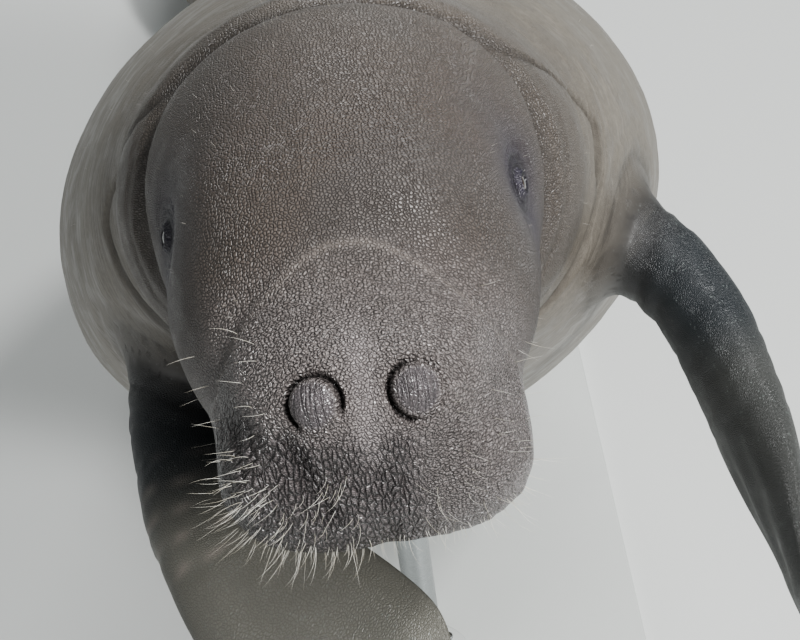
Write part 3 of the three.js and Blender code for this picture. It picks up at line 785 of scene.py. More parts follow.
# %% [markdown]
# Body and flippers are one skin on the animal, so a union joins them. It makes new points where
# they meet and keeps the rest. Each point of the result looks up its nearest point from before, and
# by that it knows later what it was, body or arm, and which place it had.

# %% Join the flippers to the body
SAME_POINT = 2e-5

before = np.concatenate([points_of(skin.data), points_of(arms["left"].data), points_of(arms["right"].data)])
for name, arm in arms.items():
    alone(skin)
    joined = skin.modifiers.new(name, "BOOLEAN")
    joined.operation = "UNION"
    joined.solver = "EXACT"
    joined.object = arm
    bpy.ops.object.modifier_apply(modifier=name)
    bpy.data.objects.remove(arm)

now = points_of(skin.data)
tree = KDTree(len(before))
for i, p in enumerate(before):
    tree.insert(p, i)
tree.balance()
nearest = [tree.find(p) for p in now]
source = np.array([q[1] for q in nearest])
is_new = np.array([q[2] for q in nearest]) > SAME_POINT
print(is_new.sum(), "points on the lines where the flippers meet the body")

# %% [markdown]
# A union leaves a hard line at each root. The net near that line is relaxed, which means that each
# point is drawn to the middle of its neighbours, again and again, until arm and shoulder flow into
# each other.

# %% Relax the roots
ROOT_REACH = 0.075
ROOT_ROUNDS = 40
ROOT_PULL = 0.6

roots = KDTree(int(is_new.sum()))
for i, p in enumerate(now[is_new]):
    roots.insert(p, i)
roots.balance()
from_root = np.array([roots.find(p)[2] for p in now])
pull = (1 - smooth(0.25, 1, from_root / ROOT_REACH)) * ROOT_PULL
moving = np.flatnonzero(pull > 0.001)
edge_ends = np.empty(len(skin.data.edges) * 2, int)
skin.data.edges.foreach_get("vertices", edge_ends)
edge_ends = edge_ends.reshape(-1, 2)
edge_ends = edge_ends[(pull[edge_ends] > 0).any(1)]


def relaxed(values, rounds):
    """Values at the points near the roots, each drawn again and again to the mean of its neighbours."""
    values = values.astype(float).reshape(len(now), -1)
    for _ in range(rounds):
        total = np.zeros_like(values)
        count = np.zeros(len(values))
        for a, b in (edge_ends.T, edge_ends.T[::-1]):
            np.add.at(total, a, values[b])
            np.add.at(count, a, 1)
        mean = total[moving] / count[moving, None]
        values[moving] += (mean - values[moving]) * pull[moving, None]
    return values


now = relaxed(now, ROOT_ROUNDS)
set_points(skin.data, now)
print(len(moving), "points relaxed at the roots")

# %% [markdown]
# Loose skin bunches where a flipper leaves the body. Two rings round each root are pressed in by a
# few millimetres, at a set distance from the line where the forms meet.

# %% Armpit folds
normals = points_of(skin.data, "vertices", "normal")
press = 0.0028 * bell(from_root - 0.03, 0.006) + 0.0022 * bell(from_root - 0.058, 0.007)
press *= 1 - smooth(0.05, 0.09, from_root)
now -= normals * press[:, None]
set_points(skin.data, now)
print("armpit folds of up to", round(press.max() * 1000, 1), "mm")

# %% [markdown]
# Every point of the finished skin now gets its markings. Some say where the hide is of another
# kind: snout, flippers, whose dark slate is partly painted shade, and hands, whose paler colour is
# painted light. Others say where it is paler, and where shade is painted into folds, grooves and
# eye sockets. A last one keeps the straight animal's lengths, so that wrinkles can run round the body.

# %% Markings of the body
SOCKET_WIDTH = 44
SOCKET_BELOW = (142, 236, 12)
WET_SPOT = (22, 50, 55)

body_count = len(straight)
x, s, v = straight.T
mirrored = np.stack([np.abs(x), s, v], 1)
from_eye = np.linalg.norm(mirrored - EYE, axis=1)
below_eye = np.linalg.norm((mirrored - SOCKET_BELOW) / (1, 1, 1.4), axis=1)
# painted shade along the neck crease and the collar fold
painted_neck_shade = 0.5 * bell(s - 318 - 0.26 * v, 9) + 0.5 * bell(s - collar_line(v), 7)
kinds = {
    "snout": 1 - smooth(60, 150, s),
    # painted shade in the nostril grooves, round the lids, in the neck creases and in the valleys beside the
    # lip
    "painted_fold_shade": np.clip(painted_nostril_shade + painted_lid_shade + painted_neck_shade + 0.09 * valley, 0, 1),
    "pale": bell(s - arch_line(v), 1.1) * smooth(-60, 0, v) * 0.3,
    # painted shade: a dark purple patch in and below each eye socket
    "socket": np.maximum(bell(from_eye, SOCKET_WIDTH), 0.8 * bell(below_eye, SOCKET_WIDTH)),
    # a darker grey mouth, partly its own tone and partly painted shade: it fades on the animal's left, the
    # side the main light falls on
    "lip": (1 - smooth(55, 95, s)) * (1 - smooth(-2, 26, v)) * (1 - 0.75 * smooth(12, 52, x)),
    "flap": nostril_flap,
    "strip": bell(x, 12) * (1 - smooth(45, 90, s)) * smooth(-35, 5, v),
    "wet": bell(np.linalg.norm(straight - WET_SPOT, axis=1), 46),
    "shoulder": bell(s - 560, 120) * smooth(90, 200, x),
    "belly": smooth(0.1, -0.9, v / 300) * smooth(350, 700, s),
    "arm": np.zeros(body_count),
    "hand_painted_light": np.zeros(body_count),
}
lie = straight / 1000
print(len(kinds), "kinds of marking on", body_count, "points")

# %% [markdown]
# The flippers get the same kinds of marking, by how far along they lie: dark slate on the arm, partly
# its own tone and partly painted shade, and a paler hand, which is painted light, full on the hand that
# folds and faint on the other. Thin lines cross the wrist: painted highlights on the hand that folds,
# and painted shade in the creases of both arms.

# %% Markings of the flippers
for name, arm in FLIPPERS.items():
    points, tt, aa = arm_rings(arm)
    t = np.append(tt.ravel(), (0, 1))
    angle = np.append(aa.ravel(), (0, 0))
    wrist = sum(bell(t + 0.012 * np.sin(2 * angle + 1) - at, 0.004) for at in WRIST_LINES)
    on_arm = {
        # dark slate of the flipper, partly its own tone and partly painted shade
        "arm": 0.35 + 0.65 * smooth(0.0, 0.16, t),
        # painted light: the hand is paler where light falls on it, fully on the hand that folds
        "hand_painted_light": smooth(0.42, 0.56, t) * (1.0 if name == "right" else 0.25),
        # painted shade in the wrist creases of the arm
        "painted_fold_shade": 0.4 * wrist * (1 - smooth(0.3, 0.45, t)),
        # painted highlights on the wrist lines of the hand that folds
        "pale": 0.5 * wrist * smooth(0.38, 0.5, t) * (name == "right"),
    }
    for kind, values in kinds.items():
        kinds[kind] = np.append(values, on_arm.get(kind, 0 * t))
    side_on = np.stack([0.07 * np.cos(angle), 2 + 0.6 * t, 0.07 * np.sin(angle)], -1)
    lie = np.concatenate([lie, side_on])
    print(name, "flipper marked on", len(t), "points")

# %% [markdown]
# The markings now go onto the joined skin as attributes, one number to a point. Triangles that
# cross from body to arm would stretch a pattern between two sets of lengths, so a seam mark mutes
# the patterns there, and markings that differ on both sides are relaxed like the net.

# %% Put the markings on the skin
CROSS_RELAXED = ("arm", "belly", "shoulder")

mesh = skin.data
is_arm = source >= body_count
crossing = edge_ends[is_arm[edge_ends[:, 0]] != is_arm[edge_ends[:, 1]]]
seam = is_new.astype(float)
seam[crossing.ravel()] = 1
seam = np.maximum(seam, np.minimum(relaxed(seam, 5)[:, 0] * 1.5, 1))
mesh.attributes.new("seam", "FLOAT", "POINT").data.foreach_set("value", seam)
for name, values in kinds.items():
    mine = values[source]
    if name in CROSS_RELAXED:
        mine = relaxed(mine, 3 * ROOT_ROUNDS)[:, 0]
    # painted shade along the armpit folds
    if name == "painted_fold_shade":
        mine = np.clip(mine + 0.4 * bell(from_root - 0.03, 0.006) * (from_root > 0.02), 0, 1)
    layer = mesh.attributes.new(name, "FLOAT", "POINT")
    layer.data.foreach_set("value", mine)
lie = lie[source]
mesh.attributes.new("lie", "FLOAT_VECTOR", "POINT").data.foreach_set("vector", lie.ravel())
print("markings:", ", ".join(kinds))

# %% [markdown]
# Fine grain is cheapest as a flat pattern. Each face picks the two of its three lengths that it
# shows best, and its corners keep those two in a grid of their own.

# %% A flat grid for the grain
starts = np.empty(len(mesh.polygons), int)
mesh.polygons.foreach_get("loop_start", starts)
corner_points = np.empty(len(mesh.loops), int)
mesh.loops.foreach_get("vertex_index", corner_points)
first, second, third = (lie[corner_points[starts + i]] for i in range(3))
facing = np.abs(np.cross(second - first, third - first)).argmax(1)
facing = np.repeat(facing, np.diff(np.append(starts, len(mesh.loops))))
flat_pairs = np.array([(1, 2), (0, 2), (0, 1)])[facing]
grid = np.zeros((len(mesh.loops), 3))
grid[:, :2] = np.take_along_axis(lie[corner_points], flat_pairs, axis=1)
mesh.attributes.new("grid", "FLOAT_VECTOR", "CORNER").data.foreach_set("vector", grid.ravel())
alone(skin)
bpy.ops.object.shade_smooth()
mesh.calc_loop_triangles()
print("skin of", len(mesh.loop_triangles), "triangles")

# %% [markdown]
# The finishes are built from a few shared effects. Each is a node group with named sockets, made
# once and placed where it is needed with its own values, so that a change of one effect reaches
# every finish that uses it. First come a few helpers that add and join nodes.


# %% Helpers for nodes
def effect(name, inputs, outputs):
    """An empty node group with its named sockets."""
    tree = bpy.data.node_groups.new(name, "ShaderNodeTree")
    for socket, kind, value in inputs:
        made = tree.interface.new_socket(socket, in_out="INPUT", socket_type=kind)
        if value is not None:
            made.default_value = value
    for socket in outputs:
        tree.interface.new_socket(socket, in_out="OUTPUT", socket_type="NodeSocketFloat")
    return tree, tree.nodes.new("NodeGroupInput"), tree.nodes.new("NodeGroupOutput")


def add_node(tree, kind, **settings):
    """A node, with settings that are its own or the values of its inputs."""
    made = tree.nodes.new(kind)
    for key, value in settings.items():
        if hasattr(made, key):
            setattr(made, key, value)
        else:
            made.inputs[key.replace("_", " ").title()].default_value = value
    return made


def ramp(tree, source_socket, low, high, to_low=0.0, to_high=1.0):
    """A soft step from one value to another."""
    made = add_node(tree, "ShaderNodeMapRange", interpolation_type="SMOOTHSTEP")
    tree.links.new(source_socket, made.inputs["Value"])
    for key, value in zip(("From Min", "From Max", "To Min", "To Max"), (low, high, to_low, to_high)):
        made.inputs[key].default_value = value
    return made.outputs["Result"]


def scaled(tree, vector_socket, scale):
    """A place made larger along each way, so that a pattern on it gets smaller."""
    made = add_node(tree, "ShaderNodeMapping")
    tree.links.new(vector_socket, made.inputs["Vector"])
    made.inputs["Scale"].default_value = scale
    return made.outputs["Vector"]


def feed(tree, given, node, *names):
    """Links sockets of the same name."""
    for name in names:
        tree.links.new(given.outputs[name], node.inputs[name])


VECTOR, FLOAT = "NodeSocketVector", "NodeSocketFloat"
PLACE = ("Vector", VECTOR, None)

# %% [markdown]
# Clouds give soft blotches. Noise of three layers is cut between a low and a high value, so that a
# narrow gap makes crisp islands and a wide one makes a haze.

# %% Clouds
clouds, given, result = effect(
    "Clouds", [PLACE, ("Scale", FLOAT, 6.0), ("Low", FLOAT, 0.4), ("High", FLOAT, 0.6)], ["Mask"]
)
made = add_node(clouds, "ShaderNodeTexNoise", detail=3.0, roughness=0.6)
spread = add_node(clouds, "ShaderNodeMapRange", interpolation_type="SMOOTHSTEP")
feed(clouds, given, made, "Vector", "Scale")
clouds.links.new(made.outputs["Fac"], spread.inputs["Value"])
clouds.links.new(given.outputs["Low"], spread.inputs["From Min"])
clouds.links.new(given.outputs["High"], spread.inputs["From Max"])
clouds.links.new(spread.outputs["Result"], result.inputs["Mask"])
print("clouds of", len(clouds.nodes), "nodes")

# %% [markdown]
# The hide of the head is covered with small pebbles. Cells have that look: the distance to the
# nearest edge between cells rises like a pebble and falls to 0 in the gaps, and a little noise
# bends the edges.

# %% Pebbles
plates, given, result = effect("Plates", [PLACE, ("Wander", FLOAT, 1.0)], ["Height", "Gaps"])
bend = add_node(plates, "ShaderNodeTexNoise", noise_dimensions="2D", scale=0.45, detail=1.0)
feed(plates, given, bend, "Vector")
shift = add_node(plates, "ShaderNodeVectorMath", operation="SCALE")
plates.links.new(bend.outputs["Color"], shift.inputs[0])
plates.links.new(given.outputs["Wander"], shift.inputs["Scale"])
moved = add_node(plates, "ShaderNodeVectorMath", operation="ADD")
plates.links.new(given.outputs["Vector"], moved.inputs[0])
plates.links.new(shift.outputs["Vector"], moved.inputs[1])
cells = add_node(plates, "ShaderNodeTexVoronoi", voronoi_dimensions="2D", feature="DISTANCE_TO_EDGE")
cells.inputs["Scale"].default_value = 1
plates.links.new(moved.outputs["Vector"], cells.inputs["Vector"])
plates.links.new(ramp(plates, cells.outputs["Distance"], 0.0, 0.32), result.inputs["Height"])
plates.links.new(ramp(plates, cells.outputs["Distance"], 0.22, 0.05), result.inputs["Gaps"])
print("pebbles of", len(plates.nodes), "nodes")

# %% [markdown]
# Wrinkles are the places where cloudy noise passes its middle value: thin lines that never cross.
# Stretched along one way, they become the fine creases of loose skin.

# %% Wrinkles
wrinkles, given, result = effect("Wrinkles", [PLACE, ("Scale", FLOAT, 1.0)], ["Height", "Lines"])
made = add_node(wrinkles, "ShaderNodeTexNoise", detail=1.5, roughness=0.55)
off = add_node(wrinkles, "ShaderNodeMath", operation="SUBTRACT")
off.inputs[1].default_value = 0.5
size = add_node(wrinkles, "ShaderNodeMath", operation="ABSOLUTE")
feed(wrinkles, given, made, "Vector", "Scale")
wrinkles.links.new(made.outputs["Fac"], off.inputs[0])
wrinkles.links.new(off.outputs["Value"], size.inputs[0])
wrinkles.links.new(ramp(wrinkles, size.outputs["Value"], 0.0, 0.09), result.inputs["Height"])
wrinkles.links.new(ramp(wrinkles, size.outputs["Value"], 0.03, 0.0), result.inputs["Lines"])
print("wrinkles of", len(wrinkles.nodes), "nodes")

# %% [markdown]
# The flippers are dusted with pale specks. Each is the middle of a small cell, and noise picks
# which cells have one.

# %% Speckles
speckles, given, result = effect("Speckles", [PLACE, ("Scale", FLOAT, 150.0)], ["Mask"])
cells = add_node(speckles, "ShaderNodeTexVoronoi", feature="F1")
picked = add_node(speckles, "ShaderNodeTexNoise", scale=60.0, detail=2.0)
both = add_node(speckles, "ShaderNodeMath", operation="MULTIPLY")
feed(speckles, given, cells, "Vector", "Scale")
feed(speckles, given, picked, "Vector")
speckles.links.new(ramp(speckles, cells.outputs["Distance"], 0.3, 0.12), both.inputs[0])
speckles.links.new(ramp(speckles, picked.outputs["Fac"], 0.48, 0.6), both.inputs[1])
speckles.links.new(both.outputs["Value"], result.inputs["Mask"])
print("effects:", ", ".join(g.name for g in bpy.data.node_groups))

# %% [markdown]
# A finish starts from the plain shader that every new material has, and its inputs are then fed
# with masks and colours. These helpers keep that short: a colour as the eye reads it, a marking
# read from the skin, sums of masks, one colour laid over another, and a bump from a height.


# %% Helpers for finishes
def linear(red, green, blue):
    """A colour as the eye reads it, 0 to 255, turned into the light that a finish takes."""
    shares = (red / 255, green / 255, blue / 255)
    return tuple(q / 12.92 if q <= 0.04045 else ((q + 0.055) / 1.055) ** 2.4 for q in shares)


def finish_of(name):
    """A new material, its nodes and its main shader."""
    made = bpy.data.materials.new(name)
    made.use_nodes = True
    return made, made.node_tree, made.node_tree.nodes["Principled BSDF"]


def object_place(tree):
    """Places in metres, as the piece's own points give them."""
    return add_node(tree, "ShaderNodeTexCoord").outputs["Object"]


def group_node(tree, group, vector_socket, **values):
    """A shared effect, placed and set."""
    made = tree.nodes.new("ShaderNodeGroup")
    made.node_tree = group
    tree.links.new(vector_socket, made.inputs["Vector"])
    for key, value in values.items():
        made.inputs[key.title()].default_value = value
    return made


def mark(tree, name):
    """A marking that is read from the piece."""
    return add_node(tree, "ShaderNodeAttribute", attribute_name=name).outputs["Fac"]


def maths(tree, operation, *values):
    made = add_node(tree, "ShaderNodeMath", operation=operation)
    for i, q in enumerate(values):
        if isinstance(q, (int, float)):
            made.inputs[i].default_value = q
        else:
            tree.links.new(q, made.inputs[i])
    return made.outputs["Value"]


def times(tree, *masks):
    """Where all of these masks are."""
    return reduce(lambda one, other: maths(tree, "MULTIPLY", one, other), masks)


def most(tree, *masks):
    """Where any of these masks is, at the strength of the strongest."""
    return reduce(lambda one, other: maths(tree, "MAXIMUM", one, other), masks)


def less(tree, socket):
    """What is left of 1 when a mask is taken away."""
    return maths(tree, "SUBTRACT", 1.0, socket)


def tinted(tree, below, share, colour):
    """A colour laid over another by a mask."""
    made = add_node(tree, "ShaderNodeMix", data_type="RGBA")
    tree.links.new(share, made.inputs["Factor"])
    if isinstance(below, tuple):
        made.inputs[6].default_value = (*below, 1)
    else:
        tree.links.new(below, made.inputs[6])
    made.inputs[7].default_value = (*colour, 1)
    return made.outputs[2]


def bumped(tree, height, millimetres=1.0):
    """A surface direction from a height mask that counts in so many millimetres."""
    made = add_node(tree, "ShaderNodeBump")
    made.inputs["Distance"].default_value = millimetres / 1000
    tree.links.new(height, made.inputs["Height"])
    return made.outputs["Normal"]


# %% [markdown]
# Wet hide is brown grey on the head and olive on the back, darker and greyer round the mouth, with
# painted shade that keeps the mouth darkest on the side away from the main light, and slate on the
# flippers, partly painted shade. First the markings are read and the patterns are placed: fine
# pebbles on the head, coarse ones round the mouth, and wrinkles round the body further back.

# %% Hide: where each pattern lies
hide, tree, shader = finish_of("hide")
place_socket = object_place(tree)
lie_socket, grid_socket = (mark(tree, n).node.outputs["Vector"] for n in ("lie", "grid"))
snout, arm_mark, hand_painted_light, flap, strip = (mark(tree, n) for n in ("snout", "arm", "hand_painted_light", "flap", "strip"))
painted_fold_shade, pale, painted_socket_shade, lip, belly = (mark(tree, n) for n in ("painted_fold_shade", "pale", "socket", "lip", "belly"))
wet, shoulder, off_seam = mark(tree, "wet"), mark(tree, "shoulder"), less(tree, mark(tree, "seam"))
split = add_node(tree, "ShaderNodeSeparateXYZ")
tree.links.new(lie_socket, split.inputs[0])
on_trunk = ramp(tree, split.outputs["Y"], 0.22, 0.6)
on_body = times(tree, on_trunk, less(tree, arm_mark))
smooth_parts = most(tree, times(tree, painted_socket_shade, 0.5), times(tree, flap, 0.5), times(tree, arm_mark, 0.6))
grained = times(tree, less(tree, on_body), off_seam, less(tree, smooth_parts))

big = group_node(tree, clouds, place_socket, scale=5.5, low=0.42, high=0.62).outputs["Mask"]
small = group_node(tree, clouds, place_socket, scale=26.0, low=0.4, high=0.62).outputs["Mask"]
grit = group_node(tree, clouds, place_socket, scale=170.0, low=0.38, high=0.62).outputs["Mask"]
grain = group_node(tree, plates, scaled(tree, grid_socket, (350, 490, 1)), wander=0.7)
ragged = maths(tree, "ADD", lip, times(tree, maths(tree, "SUBTRACT", small, 0.5), 0.35))
chosen = add_node(tree, "ShaderNodeMix", data_type="VECTOR")
tree.links.new(maths(tree, "GREATER_THAN", ragged, 0.45), chosen.inputs["Factor"])
tree.links.new(scaled(tree, grid_socket, (225, 330, 1)), chosen.inputs[4])
tree.links.new(scaled(tree, grid_socket, (245, 120, 1)), chosen.inputs[5])
coarse = group_node(tree, plates, chosen.outputs[1])
flap_lines = group_node(tree, wrinkles, scaled(tree, lie_socket, (230, 22, 22)))
round_body = group_node(tree, wrinkles, scaled(tree, lie_socket, (9, 70, 9)))
dots = group_node(tree, speckles, place_socket, scale=230.0).outputs["Mask"]

round_lines = times(tree, round_body.outputs["Lines"], off_seam)
print("patterns of", len(tree.nodes), "nodes")

# %% [markdown]
# The colour is built as a painter glazes: one coat over another, each with a mask, a share and a
# colour. Broad coats come first and lines last, as lines lie on top of everything else.

# %% Hide: colour
BARE_HIDE = (80, 74, 70)
LAYERS = (  # mask, share, colour
    (big, 0.42, (82, 70, 60)),
    (on_body, 0.85, (112, 107, 97)),
    (times(tree, on_body, small), 0.26, (92, 87, 79)),
    (small, 0.2, (70, 64, 60)),
    (belly, 0.3, (134, 126, 118)),
    (snout, 0.75, (146, 139, 137)),
    # darker grey mouth, partly painted shade, strongest on the side away from the main light
    (lip, 0.75, (100, 94, 95)),
    (strip, 0.8, (148, 141, 140)),
    (flap, 0.75, (76, 72, 76)),
    # painted shade: a dark purple patch in and below each eye socket
    (painted_socket_shade, 0.85, (44, 41, 62)),
    # dark slate of the flippers, partly their own tone and partly painted shade
    (arm_mark, 0.95, (20, 29, 34)),
    # painted light on the hands, strongest on the hand that folds
    (hand_painted_light, 0.8, (119, 117, 108)),
    (times(tree, grit, less(tree, arm_mark)), 0.22, (56, 50, 46)),
    (times(tree, dots, arm_mark), 0.35, (128, 136, 132)),
    (times(tree, on_body, big, round_lines), 0.06, (150, 144, 132)),
    (times(tree, round_lines, shoulder), 0.13, (160, 154, 145)),
    # painted shade in the gaps between the pebbles here, in the coarse gaps round the mouth on the next line,
    # and in the fine grooves of the flaps on the line after
    (times(tree, grain.outputs["Gaps"], grained), 0.58, (26, 23, 22)),
    (times(tree, coarse.outputs["Gaps"], most(tree, times(tree, snout, 0.4), lip)), 0.65, (18, 16, 17)),
    (times(tree, flap_lines.outputs["Lines"], flap), 0.5, (18, 16, 20)),
    # a thin paler line on the arch over the muzzle, and painted highlights on the wrist lines of the hand
    # that folds
    (pale, 0.7, (160, 150, 142)),
    # painted shade in all the grooves, folds and creases
    (painted_fold_shade, 0.85, (20, 18, 19)),
)
colour = linear(*BARE_HIDE)
for mask, share, over in LAYERS:
    colour = tinted(tree, colour, times(tree, mask, share), linear(*over))
tree.links.new(colour, shader.inputs["Base Color"])
print(len(LAYERS), "coats of colour")

# %% [markdown]
# Shine follows how wet the hide is, which is most on the snout and the flaps. Relief finer than the
# net is a bump: the heights of all patterns are added up in millimetres and bend the light once.

# %% Hide: shine and relief
DRY, WET = 0.5, 0.17
dampness = most(tree, wet, times(tree, flap, 0.8), times(tree, snout, 0.75), times(tree, small, 0.4))
dampness = times(tree, dampness, off_seam)
tree.links.new(ramp(tree, dampness, 0.0, 1.0, DRY, WET), shader.inputs["Roughness"])
shader.inputs["Specular IOR Level"].default_value = 0.6

calm = times(tree, less(tree, times(tree, strip, 0.9)), less(tree, flap))
HEIGHTS = (  # pattern, where, millimetres
    (grain.outputs["Height"], grained, 0.9),
    (coarse.outputs["Height"], times(tree, most(tree, times(tree, snout, 0.55), lip), calm), 3.4),
    (flap_lines.outputs["Height"], flap, 0.9),
    (round_body.outputs["Height"], times(tree, on_body, off_seam), 0.3),
)
height = None
for pattern, where, millimetres in HEIGHTS:
    part = times(tree, pattern, where, millimetres)
    height = part if height is None else maths(tree, "ADD", height, part)
tree.links.new(bumped(tree, height), shader.inputs["Normal"])
skin.data.materials.clear()
skin.data.materials.append(hide)
print("hide of", len(tree.nodes), "nodes")

# %% [markdown]
# Each eye is a ball with a dark iris and a black pupil, set deep behind the lids. It is a sphere
# turned so that its pole looks out, and the finish reads how far each place lies from that pole.

# %% Eyes
EYEBALL = {"radius": 12, "inset": 9.5}

for spot in eyes:
    name = "left" if spot["side"] > 0 else "right"
    foot = place(spot["foot"])
    out = place(spot["foot"] + spot["out"]) - foot
    out = Vector(out / np.linalg.norm(out))
    centre = Vector(foot) - out * EYEBALL["inset"] / 1000
    bpy.ops.object.select_all(action="DESELECT")
    bpy.ops.mesh.primitive_uv_sphere_add(
        segments=64,
        ring_count=40,
        radius=EYEBALL["radius"] / 1000,
        location=centre,
        rotation=out.to_track_quat("Z", "Y").to_euler(),
    )
    ball = bpy.context.object
    ball.name = f"eyeball_{name}"
    bpy.ops.object.transform_apply(location=True, rotation=True, scale=True)
    bpy.ops.object.shade_smooth()
    from_pole = [math.degrees((p.co - centre).angle(out)) / 90 for p in ball.data.vertices]
    layer = ball.data.attributes.new("from_pole", "FLOAT", "POINT")
    layer.data.foreach_set("value", from_pole)
    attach(ball, "root")
    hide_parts(f"eye_{name}")
    print(ball.name, "at", [round(q, 3) for q in centre])

# %% [markdown]
# The eye's colour goes by the distance from the pole: black pupil, brown iris with fine streaks,
# then the dark rest of the ball. A clear coat over it is the wet film on the eye.

# %% Eye finish
gloss, tree, shader = finish_of("eye_gloss")
from_pole = mark(tree, "from_pole")
streaks = group_node(tree, clouds, object_place(tree), scale=900.0, low=0.35, high=0.65).outputs["Mask"]
colour = tinted(tree, linear(58, 42, 30), times(tree, streaks, 0.5), linear(30, 21, 15))
colour = tinted(tree, colour, ramp(tree, from_pole, 0.36, 0.5), linear(22, 17, 16))
colour = tinted(tree, colour, ramp(tree, from_pole, 0.2, 0.17), linear(4, 4, 5))
tree.links.new(colour, shader.inputs["Base Color"])
shader.inputs["Roughness"].default_value = 0.08
shader.inputs["Coat Weight"].default_value = 1.0
shader.inputs["Coat Roughness"].default_value = 0.03
for name in ("left", "right"):
    bpy.data.objects[f"eyeball_{name}"].data.materials.append(gloss)

# %% [markdown]
# Nails are small horn plates near the rim of each hand, four to a side. Their horn is greyer and
# darker than the bristles, with worn blotches that also roughen it.

# %% Nail horn
horn, tree, shader = finish_of("nail_horn")
worn = group_node(tree, clouds, object_place(tree), scale=160.0, low=0.4, high=0.65).outputs["Mask"]
colour = tinted(tree, linear(116, 107, 95), worn, linear(88, 79, 68))
tree.links.new(colour, shader.inputs["Base Color"])
tree.links.new(bumped(tree, worn, 0.15), shader.inputs["Normal"])
shader.inputs["Roughness"].default_value = 0.38

# %% [markdown]
# Each nail starts as a sphere that is flattened to a plate, with its root end sunk into the hide. A
# ridge along its middle gives it a worn, arched back. It is then turned so that it lies on the back
# of the hand and points to the rim.

# %% Nails
NAIL_AT = np.array([0.95])  # share of the way along the flipper
NAIL_SIZE = (13, 9.5, 3)  # half length, breadth and thickness in millimetres
NAIL_FIRST, NAIL_NEXT = 38, 28  # degrees round the hand
NAIL_SIDES = {"left": -1, "right": 1}

for name, arm in FLIPPERS.items():
    for number in range(4):
        angle = NAIL_SIDES[name] * math.radians(NAIL_FIRST + NAIL_NEXT * number)
        centre, along, broad, flat = (q[0] for q in arm_frame(arm, NAIL_AT))
        end = tip_share(NAIL_AT)[0]
        wide, thick = section(1, NAIL_AT)[0] * end, section(2, NAIL_AT)[0] * (0.35 + 0.65 * end)
        spot = centre + broad * wide * math.cos(angle)
        spot = spot + flat * thick * (1 + EDGE_SHARE * math.cos(angle)) * math.sin(angle)
        out = flat * np.sign(angle)
        way = along + broad * 0.5 * math.cos(angle)
        way = unit(way - out * (way @ out))
        nail_frame = Matrix([*zip(way, np.cross(out, way), out)]).to_4x4()
        bpy.ops.object.select_all(action="DESELECT")
        bpy.ops.mesh.primitive_uv_sphere_add(segments=32, ring_count=20, radius=0.001, location=(0, 0, 0))
        nail = bpy.context.object
        nail.name = f"nail_plate_{name}_{number + 1}"
        nail.scale = NAIL_SIZE
        bpy.ops.object.transform_apply(location=False, rotation=False, scale=True)
        for p in nail.data.vertices:
            p.co.z += 0.0007 * math.exp(-((p.co.y / 0.0035) ** 2)) * (p.co.z > 0) - 25 * p.co.x**2
        nail.matrix_world = Matrix.Translation(spot / 1000) @ nail_frame
        bpy.ops.object.transform_apply(location=True, rotation=True, scale=True)
        bpy.ops.object.shade_smooth()
        nail.data.materials.append(horn)
        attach(nail, "root")
        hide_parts(f"nail_{name}_{number + 1}")
    print("4 nails on the", name, "hand_painted_light")

# %% [markdown]
# The skin now takes the place of all the solid flesh, so that no seam shows between the parts.

# %% The skin takes its place
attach(skin, "root")
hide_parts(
    "neck", "head", "muzzle", "lower_jaw", "chest", "belly", "loin", "tail_stock", "tail_paddle"
)
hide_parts("flipper_left", "flipper_right")
print("skin in place of the flesh")

# %% [markdown]
# Stiff pale bristles stand on the lip pads and down the sides of the muzzle, with a few short hairs
# scattered over the rest. First each triangle of the skin gets its size and its place on the
# straight animal, and each kind of bristle says by these where it grows thickly.

# %% Where bristles grow
rng = np.random.default_rng(5)
mesh.calc_loop_triangles()
corners = np.array([t.vertices[:] for t in mesh.loop_triangles])
loops = np.array([t.loops[:] for t in mesh.loop_triangles])
skin_points = points_of(mesh)
skin_normals = points_of(mesh, "vertices", "normal")
flat_map = np.empty(len(mesh.loops) * 2)
mesh.uv_layers[MAP_NAME].data.foreach_get("uv", flat_map)
flat_map = flat_map.reshape(-1, 2)
lengths_of = np.concatenate([straight, np.full((len(before) - body_count, 3), 1e4)])[source]

middle = lengths_of[corners].mean(1)
edge_a = skin_points[corners[:, 1]] - skin_points[corners[:, 0]]
edge_b = skin_points[corners[:, 2]] - skin_points[corners[:, 0]]
area = np.linalg.norm(np.cross(edge_a, edge_b), axis=1) / 2
x, s, v = middle.T
off_middle = np.abs(x)
lip_front = smooth(50, 20, s) * smooth(-118, -100, v) * (1 - smooth(-34, -8, v))
muzzle_side = smooth(60, 80, off_middle) * (1 - smooth(100, 125, s))
muzzle_side = muzzle_side * smooth(-110, -90, v) * (1 - smooth(50, 75, v))
pads = lip_front * smooth(8, 36, off_middle) * (1 - 0.8 * smooth(-15, 15, x))
BRISTLES = {  # name: where, how many, length low and high, root radius, droop, sideways lean
    "pad": (pads, 150, 12, 37, 0.22, 0.3, 1.1),
    "lip": (lip_front * (1 - smooth(-94, -78, v)), 80, 6, 18, 0.22, 0.8, 0.3),
    "side": (muzzle_side * (1 - 0.6 * smooth(-15, 15, x)), 44, 15, 30, 0.23, 0.12, 0.9),
    "scattered": ((s < 2200) * (s > 60) * (1.0 + 2.5 * (s < 420)), 420, 4, 8, 0.13, 0.2, 0.2),
}
print("bristles:", {name: settings[1] for name, settings in BRISTLES.items()})

# %% [markdown]
# Every bristle is a thin tapering tube that bends as it grows. Hair particles would be quicker, but
# real mesh can be seen and used anywhere. The tube has few sides, as each is only a fifth of a
# millimetre thick.

# %% One bristle
TUBE_RINGS = 6
TUBE_SIDES = 4
TUBE_TAPER = 0.82
SUNK = 0.0012


